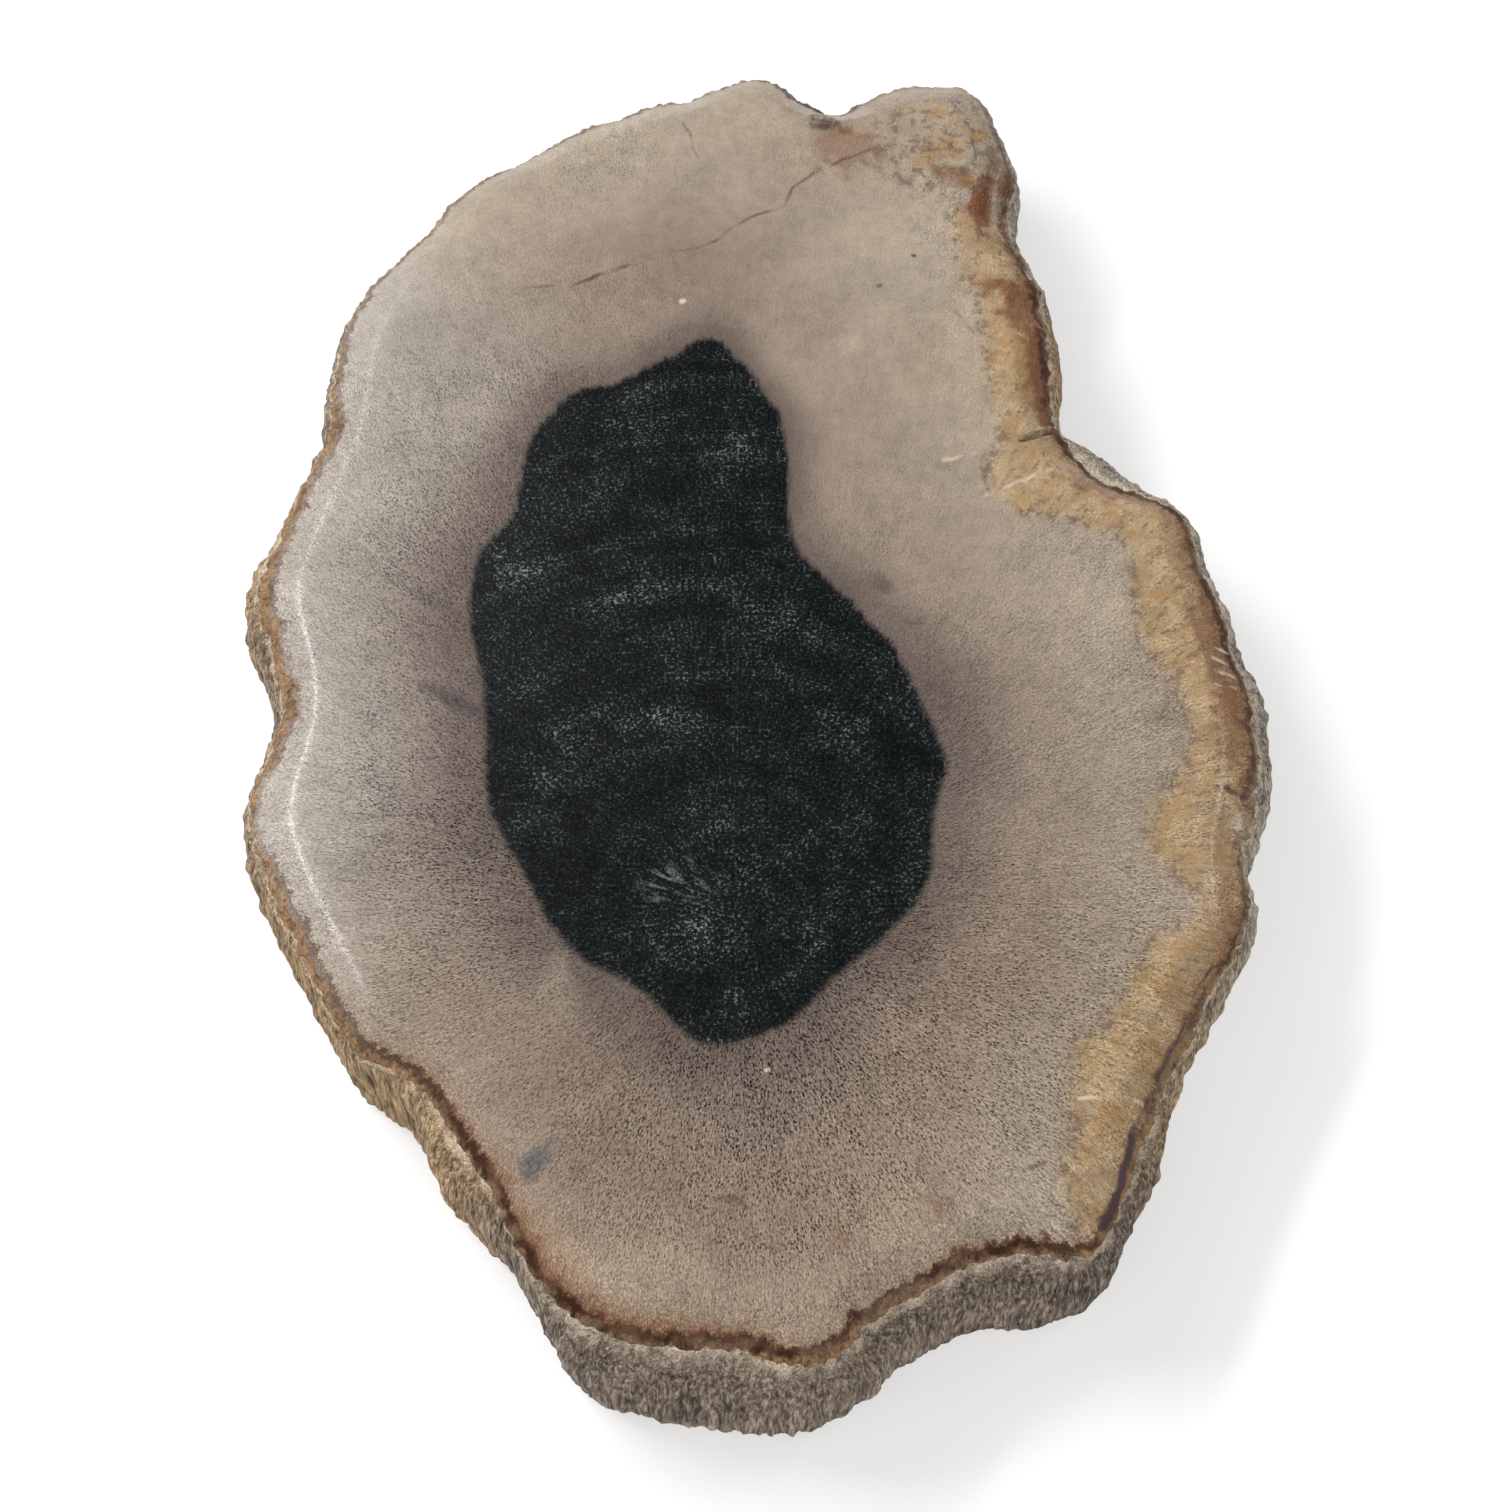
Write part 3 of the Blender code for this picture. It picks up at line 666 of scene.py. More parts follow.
def fill(ring, points):
    """Triangles that fill a ring of points on the plane, with loose points inside it."""
    loose = [Vector(p) for p in np.vstack([ring, points])]
    verts, _, faces, origins, _, _ = delaunay_2d_cdt(loose, [], [list(range(len(ring)))], 1, 1e-6)
    number = [o[0] for o in origins]
    if len(verts) != len(loose) or sorted(number) != list(range(len(loose))):
        raise RuntimeError("the face's points don't make a clean mesh")
    return [[number[i] for i in face] for face in faces]


def build_mesh(sizes):
    """The whole slice: vertices, faces, zone of each face, the bark's relief at each vertex, and rings."""
    grid = slice_rings(sizes)
    levels, count = grid.shape[:2]
    rim_row = len(WALL_HEIGHTS) - 1
    relief = np.zeros((levels, count))
    for row in range(levels):
        points = grid[row]
        share = 1.0 if row <= rim_row else 0.0
        if row > rim_row:
            inset = ROUNDING[row - rim_row][0] * sizes.rounding_width * MM
            share = float(1 - blend(0.0, BARK_FADE, np.array(inset)))
        if row == 0:
            share = 0.5
        if share > 0:
            sample = points.copy()
            sample[:, 2] = min(points[0, 2], RIM)
            relief[row] = bark_relief(sample, sizes.bark_relief * MM) * share
    for row in range(levels):
        grid[row, :, :2] += outward(grid[row, :, :2]) * relief[row][:, None]
    face_points = face_mesh_points(grid, sizes)
    base_points = base_mesh_points(grid)
    ring_count = levels * count
    verts = np.vstack([
        grid.reshape(-1, 3),
        np.column_stack([face_points, np.full(len(face_points), TOP)]),
        np.column_stack([base_points, np.zeros(len(base_points))]),
    ])
    verts[:, 2] = broken_out(verts)
    faces, zones = [], []
    for row in range(levels - 1):
        below, above = row * count, (row + 1) * count
        for k in range(count):
            after = (k + 1) % count
            faces.append((below + k, below + after, above + after, above + k))
            zones.append(WALL if row < rim_row else FACE)
    top_start = (levels - 1) * count
    for face in fill(grid[-1, :, :2], face_points):
        faces.append(tuple(top_start + i if i < count else ring_count + i - count for i in face))
        zones.append(FACE)
    base_start = ring_count + len(face_points)
    for face in fill(grid[0, :, :2], base_points):
        faces.append(tuple(i if i < count else base_start + i - count for i in reversed(face)))
        zones.append(UNDERSIDE)
    relief = np.concatenate([relief.ravel(), np.zeros(len(face_points) + len(base_points))])
    return verts, faces, zones, relief, grid


def broken_out(verts):
    """Heights of the polished points with the slit and the chips sunk into them."""
    flat = on_face_plane(verts)
    depth = SLIT_DEPTH * (1 - blend(SLIT_HALF * 0.5, SLIT_HALF * 1.6, line_distance(flat, SLIT)))
    for x, y, half_width, half_height, turn, chip in CHIPS:
        edge = oval(flat, x, y, half_width, half_height, turn)
        near = edge < 2
        edge[near] += 0.3 * waves(verts[near], 0.9, 1.0, 15.0)
        depth = np.maximum(depth, chip * (1 - blend(0.75, 1.1, edge)))
    height = verts[:, 2]
    sunk = np.maximum(height - depth, RIM + 0.2 * (height - RIM))
    return np.where(height > RIM + 0.01, sunk, height)


def on_face_plane(verts):
    """Where each point lies on the plane of the face, followed down the viewing slope."""
    flat = verts[:, :2].copy()
    flat[:, 1] -= np.clip(TOP - verts[:, 2], 0, TOP - RIM) * VIEW_SLOPE
    return flat


# ---------------------------------------------------------------- painting the mesh


def tone_table(colours):
    """Each tone's colour by name."""
    return {name.replace("_", " "): np.array(getattr(colours, name)) for name in colours.__annotations__}


def lay(zone, colour_over, amount):
    """Lays an amount of a colour over the zone colours."""
    zone[:] = zone + (colour_over - zone) * np.clip(amount, 0, 1)[:, None]


def stain(zone, flat, wobble, tones):
    """Lays the stains over the zone colours, and gives how much of the strong ones is at each point."""
    stained = np.zeros(len(flat))
    for x, y, half_width, half_height, turn, tone, strength in STAINS:
        ragged = 0.75 if tone == "rust" else 0.4
        edge = oval(flat, x, y, half_width, half_height, turn) + ragged * wobble
        amount = strength * (1 - blend(0.5, 1.25, edge))
        lay(zone, tones[tone], amount)
        if tone not in ("ochre", "band"):
            stained = np.maximum(stained, amount)
    return stained


def fine_marks(flat, laid, polished, tones):
    """How strong the nearest fine mark is at each point, and its colour."""
    mark = np.zeros(len(flat))
    mark_tone = np.tile(tones["vein dark"], (len(flat), 1))
    wander = np.column_stack([waves(laid, 1.6, 1.0, seed) for seed in (31.0, 47.0)])
    fading = waves(laid, 1.9, 1.0, 63.0)
    for line, half_width, tone, strength in MARKS:
        line = eased(line)
        near = np.all((flat > line.min(0) - 2) & (flat < line.max(0) + 2), axis=1) & polished
        gap = line_distance(flat[near] + 0.3 * wander[near], line)
        amount = strength * (1 - blend(half_width * 0.4, half_width + 0.25, gap))
        if half_width < 0.5:
            amount *= np.clip(0.8 + 1.1 * fading[near], 0.2, 1)
        take = (amount > mark[near]) | ((gap < half_width + 1.2) & (mark[near] < 0.02))
        rows = np.flatnonzero(near)[take]
        mark_tone[rows] = tones[tone]
        mark[rows] = np.maximum(mark[rows], amount[take])
    return mark, mark_tone


def paint(verts, relief, grid, colours):
    """Fields over the mesh: how much of heart, rust, pores and marks is at each point; and its colours."""
    tones = tone_table(colours)
    flat = on_face_plane(verts)
    underside = verts[:, 2] < 0.01
    flat[underside] = verts[underside, :2]
    laid = np.column_stack([flat, verts[:, 2]])
    on_wall = (verts[:, 2] < RIM - 0.01) & ~underside
    polished = ~(on_wall | underside)
    at = bearings(verts)
    rim = grid[len(WALL_HEIGHTS) - 1, ::4, :2]
    inset = line_distance(verts[:, :2], np.vstack([rim, rim[:1]]))
    inset[on_wall] = 0
    wobble = waves(laid, 2.2, 1.0, 5.0)
    wobble += waves(laid, 1.0, 1.0, 9.0)

    # colour of the stone: broad tones, the shadow round the heart, the golden band, stains, and the bark
    zone = blended(flat, TONES_AT, np.array([tones[tone] for _, _, tone in TONES_AT]))
    heart = depth_inside(flat, softened(np.array(HEART, float)))
    halo = round_table(HALO_STATIONS, 2, at)
    lay(zone, tones["near heart"], 0.95 * (1 - blend(0.0, 1.0, -heart / halo)))
    golden = depth_inside(flat, np.vstack([GOLD_BORDER, BEYOND_BAND]))
    lay(zone, tones["gold"], 0.9 * blend(-1.2, 1.6, golden) * (1 - 0.5 * blend(60, 66, flat[:, 1])))
    stained = stain(zone, flat, wobble, tones)
    barks = [(x, y, *tones[tone]) for x, y, tone in WALL_STATIONS]
    zone[on_wall] = np.column_stack([round_table(barks, k, at) for k in (2, 3, 4)])[on_wall]

    # where things lie
    lobe = 1 - blend(0.6, 1.2, oval(flat, *LOBE))
    heart_light = np.zeros(len(verts))
    for *spot, strength in HEART_LIGHTS:
        heart_light = np.maximum(heart_light, strength * (1 - blend(0.2, 1.3, oval(flat, *spot))))
    fan = 1 - blend(0.35, 1.1, oval(flat, *FAN) + 0.3 * wobble)
    lies, half, fringe, strength, brown = (round_table(RUST_STATIONS, k, at) for k in range(2, 7))
    mark, mark_tone = fine_marks(flat, laid, polished, tones)
    pores = blend(2.0, 9.0, inset)
    x, y = flat[:, 0], flat[:, 1]
    pores *= 0.35 + 0.65 * blend(-48, -38, x) * (1 - blend(-18, 6, x) * blend(-40, -20, y))
    return {
        "heart_depth": np.clip(heart, -8, 8),
        "heart_light": heart_light,
        "fan": fan,
        "stained": stained,
        "rust_gap": np.where(polished, np.clip(inset - lies, -2, 6), -2),
        "rust_half": half,
        "rust_fringe": fringe,
        "rust_strength": strength * polished,
        "rust_brown": brown,
        "grain": blended(flat, GRAIN_AT, np.array([strong for _, _, strong in GRAIN_AT])),
        "mark": mark,
        "pores": np.where(on_wall, 0, pores),
        "relief": relief,
        "rim_inset": np.clip(inset, 0, 12),
        "rim_drop": np.clip(RIM - verts[:, 2], 0, 16),
        "golden": np.maximum(blend(-1.5, 1.5, golden), 0.5 * lobe) * ~on_wall,
        "dull": blend(-44, -62, y + 0.25 * x) * (1 - blend(6.0, 9.0, inset)),
    }, {"zone_colour": zone, "mark_colour": mark_tone}


def make_slice(context):
    """The slice as one mesh object, with its fields."""
    settings = context.scene
    verts, faces, zones, relief, grid = build_mesh(settings.slice_sizes)
    mesh = bpy.data.meshes.new("petrified_wood_slice_stone")
    mesh.from_pydata((verts / MM).tolist(), [], faces)
    mesh.polygons.foreach_set("material_index", zones)
    mesh.polygons.foreach_set("use_smooth", [True] * len(faces))
    values, tints = paint(verts, relief, grid, settings.slice_colours)
    for name, value in values.items():
        field = mesh.attributes.new(name, "FLOAT", "POINT")
        field.data.foreach_set("value", np.asarray(value, np.float32))
    for name, value in tints.items():
        field = mesh.attributes.new(name, "FLOAT_COLOR", "POINT")
        rgba = np.column_stack([value, np.ones(len(value))]).astype(np.float32)
        field.data.foreach_set("color", rgba.ravel())
    mesh.validate()
    mesh.update()
    stone = bpy.data.objects.new("stone_slice", mesh)
    context.scene.collection.objects.link(stone)
    return stone


# ---------------------------------------------------------------- materials


class Steps:
    """Adds nodes to a tree and joins them, so that a material reads as a list of steps."""

    def __init__(self, tree):
        self.tree = tree

    def add(self, kind, inputs=None, **settings):
        """A new node, with its inputs filled by name."""
        made = self.tree.nodes.new(kind)
        for name, value in settings.items():
            setattr(made, name, value)
        for name, value in (inputs or {}).items():
            self.put(made.inputs[name], value)
        return made

    def put(self, socket, value):
        """Joins a socket to another one, or sets it to a constant; a colour needs no alpha."""
        if isinstance(value, bpy.types.NodeSocket):
            self.tree.links.new(value, socket)
        elif socket.type == "RGBA":
            socket.default_value = (*tuple(value)[:3], 1)
        else:
            socket.default_value = value

    def math(self, operation, a, b=0.0, c=0.0):
        made = self.add("ShaderNodeMath", operation=operation)
        for socket, value in zip(made.inputs, (a, b, c)):
            self.put(socket, value)
        return made.outputs[0]

    def times(self, a, b):
        return self.math("MULTIPLY", a, b)

    def total(self, *parts, start=None):
        """Sum of the parts, each a value and its share, on top of a start value where there is one."""
        for value, share in parts:
            if start is None:
                start = self.times(value, share)
            else:
                start = self.math("MULTIPLY_ADD", value, share, start)
        return start

    def vector(self, operation, a, b=(0, 0, 0), scale=None):
        made = self.add("ShaderNodeVectorMath", operation=operation)
        self.put(made.inputs[0], a)
        self.put(made.inputs[1], b)
        if scale is not None:
            self.put(made.inputs["Scale"], scale)
        return made.outputs["Value"] if operation == "LENGTH" else made.outputs["Vector"]

    def step(self, value, low, high, to_low=0.0, to_high=1.0):
        """A smooth change from to_low to to_high while the value goes from low to high."""
        made = self.add("ShaderNodeMapRange", interpolation_type="SMOOTHSTEP")
        for socket, entry in zip(made.inputs, (value, low, high, to_low, to_high)):
            self.put(socket, entry)
        return made.outputs["Result"]

    def mix(self, amount, a, b):
        """Colour a, with an amount of colour b laid over it."""
        made = self.add("ShaderNodeMix", data_type="RGBA")
        self.put(made.inputs[0], amount)
        self.put(made.inputs[6], a)
        self.put(made.inputs[7], b)
        return made.outputs[2]

    def shaded(self, colour_in, amount):
        """A colour made lighter or darker by an amount about 0."""
        return self.vector("SCALE", colour_in, scale=self.math("ADD", amount, 1.0))

    def noise(self, position, scale, detail=2.0, roughness=0.5):
        made = self.add(
            "ShaderNodeTexNoise",
            {"Vector": position, "Scale": scale, "Detail": detail, "Roughness": roughness},
        )
        return made.outputs[0]

    def ripple(self, position, scale, detail=2.0, roughness=0.5):
        """Noise about 0."""
        return self.math("SUBTRACT", self.noise(position, scale, detail, roughness), 0.5)

    def field(self, name, output="Fac"):
        """A field of the mesh."""
        return self.add("ShaderNodeAttribute", attribute_name=name).outputs[output]

    def use(self, group, **inputs):
        """Outputs of a node group placed in this tree."""
        made = self.add("ShaderNodeGroup")
        made.node_tree = group
        for name, value in inputs.items():
            self.put(made.inputs[name.replace("_", " ")], value)
        return made.outputs


def new_group(name, takes, gives):
    """An empty node group with named inputs (name, type, default) and outputs (name, type)."""
    tree = bpy.data.node_groups.new(name, "ShaderNodeTree")
    for label, kind, default in takes:
        socket = tree.interface.new_socket(label, in_out="INPUT", socket_type=kind)
        if default is not None:
            socket.default_value = default
    for label, kind in gives:
        tree.interface.new_socket(label, in_out="OUTPUT", socket_type=kind)
    steps = Steps(tree)
    return tree, steps, steps.add("NodeGroupInput").outputs, steps.add("NodeGroupOutput")


FLOAT, VECTOR, COLOR = "NodeSocketFloat", "NodeSocketVector", "NodeSocketColor"


def rays_group():
    """Direction and distance from the pith, and fine hairs that run along the wood's rays."""
    tree, steps, given, out = new_group(
        "Wood rays",
        [("Position", VECTOR, None), ("Hair spacing", FLOAT, 100.0)],
        [("Away", VECTOR), ("Distance", FLOAT), ("Hairs", FLOAT)],
    )
    flat = steps.vector("MULTIPLY", given["Position"], (1, 1, 0))
    arm = steps.vector("SUBTRACT", flat, (*PITH, 0))
    away = steps.vector("NORMALIZE", arm)
    distance = steps.vector("LENGTH", arm)
    wheel = steps.vector("SCALE", away, scale=given["Hair spacing"])
    lift = steps.add("ShaderNodeCombineXYZ", {"Z": steps.times(distance, 0.35)}).outputs[0]
    steps.put(out.inputs["Away"], away)
    steps.put(out.inputs["Distance"], distance)
    steps.put(out.inputs["Hairs"], steps.ripple(steps.vector("ADD", wheel, lift), 1.0, 2.0, 0.6))
    return tree


def grain_group():
    """Mottling of the stone at four sizes, each about 0."""
    tree, steps, given, out = new_group(
        "Stone grain",
        [("Position", VECTOR, None)],
        [("Broad", FLOAT), ("Medium", FLOAT), ("Fine", FLOAT), ("Salt", FLOAT)],
    )
    for label, scale, detail, roughness in (
        ("Broad", 0.13, 3.0, 0.55), ("Medium", 0.7, 3.0, 0.55),
        ("Fine", 2.6, 2.0, 0.55), ("Salt", 4.4, 3.0, 0.8),
    ):
        steps.put(out.inputs[label], steps.ripple(given["Position"], scale, detail, roughness))
    return tree


def fibres_group():
    """Grain drawn out along the wood's rays, about 0."""
    tree, steps, given, out = new_group(
        "Ray fibres",
        [("Position", VECTOR, None), ("Away", VECTOR, None), ("Scale", FLOAT, 6.0), ("Length", FLOAT, 0.26)],
        [("Fibres", FLOAT)],
    )
    total = 0.0
    for share in (-0.5, -0.17, 0.17, 0.5):
        shift = steps.vector("SCALE", given["Away"], scale=steps.times(given["Length"], share))
        value = steps.noise(steps.vector("ADD", given["Position"], shift), given["Scale"], 2.0, 0.7)
        total = steps.math("ADD", value, total)
    steps.put(out.inputs["Fibres"], steps.total((total, 0.5), start=-1.0))
    return tree


def pores_group():
    """Small dots, stretched a little along the wood's rays."""
    tree, steps, given, out = new_group(
        "Wood pores",
        [("Position", VECTOR, None), ("Away", VECTOR, None), ("Spacing", FLOAT, 0.38), ("Size", FLOAT, 0.3),
         ("Stretch", FLOAT, 0.12)],
        [("Dots", FLOAT)],
    )
    flat = steps.vector("MULTIPLY", given["Position"], (1, 1, 0.35))
    shift = steps.vector("SCALE", given["Away"], scale=given["Stretch"])
    scale = steps.math("DIVIDE", 1.0, given["Spacing"])
    solid = steps.times(given["Size"], 0.55)
    dots = []
    for place in (flat, steps.vector("ADD", flat, shift)):
        cells = steps.add("ShaderNodeTexVoronoi", {"Vector": place, "Scale": scale, "Randomness": 0.85})
        dots.append(steps.step(cells.outputs["Distance"], solid, given["Size"], 1.0, 0.0))
    steps.put(out.inputs["Dots"], steps.math("MAXIMUM", dots[0], dots[1]))
    return tree


def cut_stone_group(groups, colours):
    """Colour of the cut stone, with its band, pores and heart, and the masks of the heart and the pores."""
    tree, steps, given, out = new_group(
        "Cut stone",
        [("Position", VECTOR, None), ("Contrast", FLOAT, 1.0)],
        [("Color", COLOR), ("Heart", FLOAT), ("Dots", FLOAT)],
    )
    place = given["Position"]
    contrast = given["Contrast"]
    rays = steps.use(groups["rays"], Position=place)
    grain = steps.use(groups["grain"], Position=place)
    fibres = steps.use(groups["fibres"], Position=place, Away=rays["Away"])["Fibres"]
    dots = steps.use(groups["pores"], Position=place, Away=rays["Away"])["Dots"]

    # the band: fibres, hairs and salt as strong as the grain is here, then broad mottling and pores
    gathered = steps.step(steps.noise(place, 0.33, 3.0, 0.6), 0.38, 0.62, 0.85, 1.15)
    strength = steps.times(steps.times(steps.field("grain"), gathered), contrast)
    level = steps.total((fibres, 1.6), (rays["Hairs"], 0.4), (grain["Salt"], 1.5), (grain["Fine"], 0.35))
    level = steps.times(level, strength)
    level = steps.total((grain["Broad"], steps.times(contrast, 0.5)), start=level)
    level = steps.total((grain["Medium"], steps.times(contrast, 0.45)), start=level)
    base = steps.shaded(steps.field("zone_colour", "Color"), level)
    amount = steps.times(dots, steps.times(steps.field("pores"), strength))
    base = steps.shaded(base, steps.times(amount, -0.42))

    # the heart: ragged grey grains, thicker in clusters, in rings about the pith and in fans along the rays
    wander = steps.total((rays["Hairs"], 1.3), (fibres, 1.2), (grain["Medium"], 0.8))
    mask = steps.step(steps.math("ADD", steps.field("heart_depth"), wander), -0.5, 0.45)
    ring_place = steps.total((grain["Broad"], 5.0), start=rays["Distance"])
    ring_place = steps.add("ShaderNodeCombineXYZ", {"X": steps.times(ring_place, 0.42)}).outputs[0]
    plenty = steps.math("SUBTRACT", steps.times(steps.noise(place, 0.2, 4.0, 0.65), 1.9), 1.0)
    plenty = steps.total((steps.ripple(ring_place, 1.0, 2.0, 0.6), 1.3), start=plenty)
    patches = steps.step(steps.noise(place, 0.75, 4.0, 0.7), 0.40, 0.60)
    plenty = steps.total((steps.times(steps.field("heart_light"), patches), 0.8), start=plenty)
    drawn = steps.use(groups["fibres"], Position=place, Away=rays["Away"], Scale=4.2, Length=0.9)["Fibres"]
    ragged = steps.total((drawn, 0.45), (plenty, 0.10), start=steps.noise(place, 3.0, 2.0, 0.65))
    glint = steps.step(ragged, 0.57, 0.70)
    lit = steps.times(glint, steps.step(plenty, -0.5, 1.2, 0.07, 0.95))
    spokes = steps.use(groups["rays"], Position=place, Hair_spacing=11.0)["Hairs"]
    fan = steps.times(steps.field("fan"), steps.step(spokes, -0.02, 0.10))
    fan = steps.times(fan, steps.step(ragged, 0.42, 0.62, 0.15, 0.65))
    lit = steps.math("MAXIMUM", lit, fan)
    tint = steps.mix(steps.step(grain["Medium"], -0.15, 0.15), colours.speckle, colours.speckle_warm)
    ground = steps.total((steps.math("SUBTRACT", ragged, 0.55), 5.0), start=plenty)
    dark = steps.shaded(colours.heart, steps.times(ground, 0.75))
    dark = steps.mix(lit, steps.vector("MAXIMUM", dark, DARKEST), tint)

    steps.put(out.inputs["Color"], steps.mix(mask, base, dark))
    steps.put(out.inputs["Heart"], mask)
    steps.put(out.inputs["Dots"], dots)
    return tree


def position_mm(steps):
    """Place on the object, in millimetres."""
    place = steps.add("ShaderNodeTexCoord").outputs["Object"]
    return steps.vector("SCALE", place, scale=MM)


def finish(steps, base, roughness, specular, height=None, strength=0.3, distance=0.0001):
    """The material's shader, from its colour, roughness and height; distance is how tall a height of 1 is."""
    inputs = {"Base Color": base, "Roughness": roughness, "Specular IOR Level": specular}
    shader = steps.add("ShaderNodeBsdfPrincipled", inputs)
    if height is not None:
        bump = steps.add("ShaderNodeBump", {"Strength": strength, "Distance": distance, "Height": height})
        steps.put(shader.inputs["Normal"], bump.outputs["Normal"])
    out = steps.add("ShaderNodeOutputMaterial")
    steps.put(out.inputs["Surface"], shader.outputs[0])
    return shader


def new_material(name):
    """An empty material, and the steps to fill it with."""
    material = bpy.data.materials.new(name)
    material.use_nodes = True
    material.node_tree.nodes.clear()
    return material, Steps(material.node_tree)


def golden_band(steps, base, colours, place, hairs):
    """The golden band laid over the face: ochre clouds, dark spots, pale streaks across, a mottled border."""
    golden = steps.field("golden")
    over = steps.times(golden, steps.total((steps.field("stained"), -0.85), start=1.0))
    olive = steps.step(steps.noise(place, 0.22, 3.0, 0.6), 0.44, 0.60, 0.0, 0.5)
    clouds = steps.step(steps.noise(place, 0.42, 4.0, 0.65), 0.46, 0.62, 0.0, 0.65)
    streaks = steps.total((hairs, 1.0), start=steps.noise(place, 1.3, 3.0, 0.7))
    border = steps.times(golden, steps.math("SUBTRACT", 1.0, golden))
    spots = steps.step(steps.noise(place, 0.8, 4.0, 0.75), 0.48, 0.62, 0.0, 2.2)
    for amount, share, tone in (
        (over, olive, colours.olive),
        (over, clouds, colours.ochre),
        (over, steps.step(streaks, 0.56, 0.74, 0.0, 0.45), colours.pale_gold),
        (golden, steps.step(streaks, 0.28, 0.42, 0.4, 0.0), colours.umber),
        (border, spots, colours.umber),
    ):
        base = steps.mix(steps.times(amount, share), base, tone)
    return base


def rust_line(steps, base, colours, place, grain, hairs, fibres):
    """The rim from the face outwards: a fringe of rusty hairs, the dark core of the rust line, and brown."""
    uneven = steps.times(steps.ripple(place, 0.9, 4.0, 0.65), 2.2)
    uneven = steps.total((hairs, 0.9), (grain["Salt"], 0.8), start=uneven)
    gap = steps.math("ADD", steps.field("rust_gap"), uneven)
    strength = steps.field("rust_strength")

    fringe = steps.total((fibres, 1.6), start=steps.math("DIVIDE", gap, steps.field("rust_fringe")))
    stain = steps.times(steps.step(fringe, 0.1, 1.3, 1.0, 0.0), steps.step(gap, -0.3, 0.2))
    stain = steps.times(stain, strength)
    rusty = steps.mix(steps.step(fringe, 0.15, 0.8), colours.rust, colours.rust_tan)
    base = steps.mix(steps.times(stain, 0.9), base, rusty)

    outer = steps.times(steps.step(gap, -0.5, 0.0, 1.0, 0.0), steps.field("rust_brown"))
    mottle = steps.total((grain["Fine"], 1.8), (grain["Medium"], 2.2), (grain["Salt"], 3.0))
    base = steps.mix(outer, base, steps.shaded(colours.rust_tan, mottle))

    width = steps.times(steps.field("rust_half"), 1.05)
    core = steps.step(steps.math("DIVIDE", steps.math("ABSOLUTE", gap), width), 0.3, 1.7, 1.0, 0.0)
    patchy = steps.step(steps.noise(place, 0.33, 3.0, 0.6), 0.36, 0.56, 0.5, 1.0)
    return steps.mix(steps.times(core, steps.times(strength, patchy)), base, colours.rust_dark)


def polished_face(groups, colours):
    """The polished face and its rounding."""
    material, steps = new_material("polished_petrified_wood")
    place = position_mm(steps)
    stone = steps.use(groups["cut stone"], Position=place, Contrast=1.0)
    rays = steps.use(groups["rays"], Position=place)
    grain = steps.use(groups["grain"], Position=place)
    fibres = steps.use(groups["fibres"], Position=place, Away=rays["Away"])["Fibres"]
    base = golden_band(steps, stone["Color"], colours, place, rays["Hairs"])
    base = rust_line(steps, base, colours, place, grain, rays["Hairs"], fibres)

    # fine marks
    mark = steps.total((grain["Fine"], 0.5), start=steps.field("mark"))
    mark = steps.times(steps.step(mark, 0.15, 0.85), steps.step(steps.field("mark"), 0.0, 0.1))
    base = steps.mix(mark, base, steps.field("mark_colour", "Color"))

    # dull in the pores, at the rim and where the polish is worn; dimpled on the shoulder of the rounding
    edge = steps.step(steps.field("rim_inset"), 0.3, 1.8, 1.0, 0.0)
    roughness = steps.total(
        (stone["Dots"], 0.12), (stone["Heart"], 0.08), (edge, 0.45), (steps.field("dull"), 0.5), start=0.17
    )
    height = steps.total((stone["Dots"], -0.5), (grain["Fine"], 0.5))
    height = steps.math("SUBTRACT", height, mark)
    shoulder = steps.step(steps.field("rim_inset"), 4.5, 7.5, 1.0, 0.0)
    dimples = steps.times(shoulder, steps.ripple(place, 2.6, 2.0, 0.6))
    height = steps.total((dimples, 3.5), start=height)
    finish(steps, base, roughness, 0.22, height, 0.25, 0.00004)
    return material


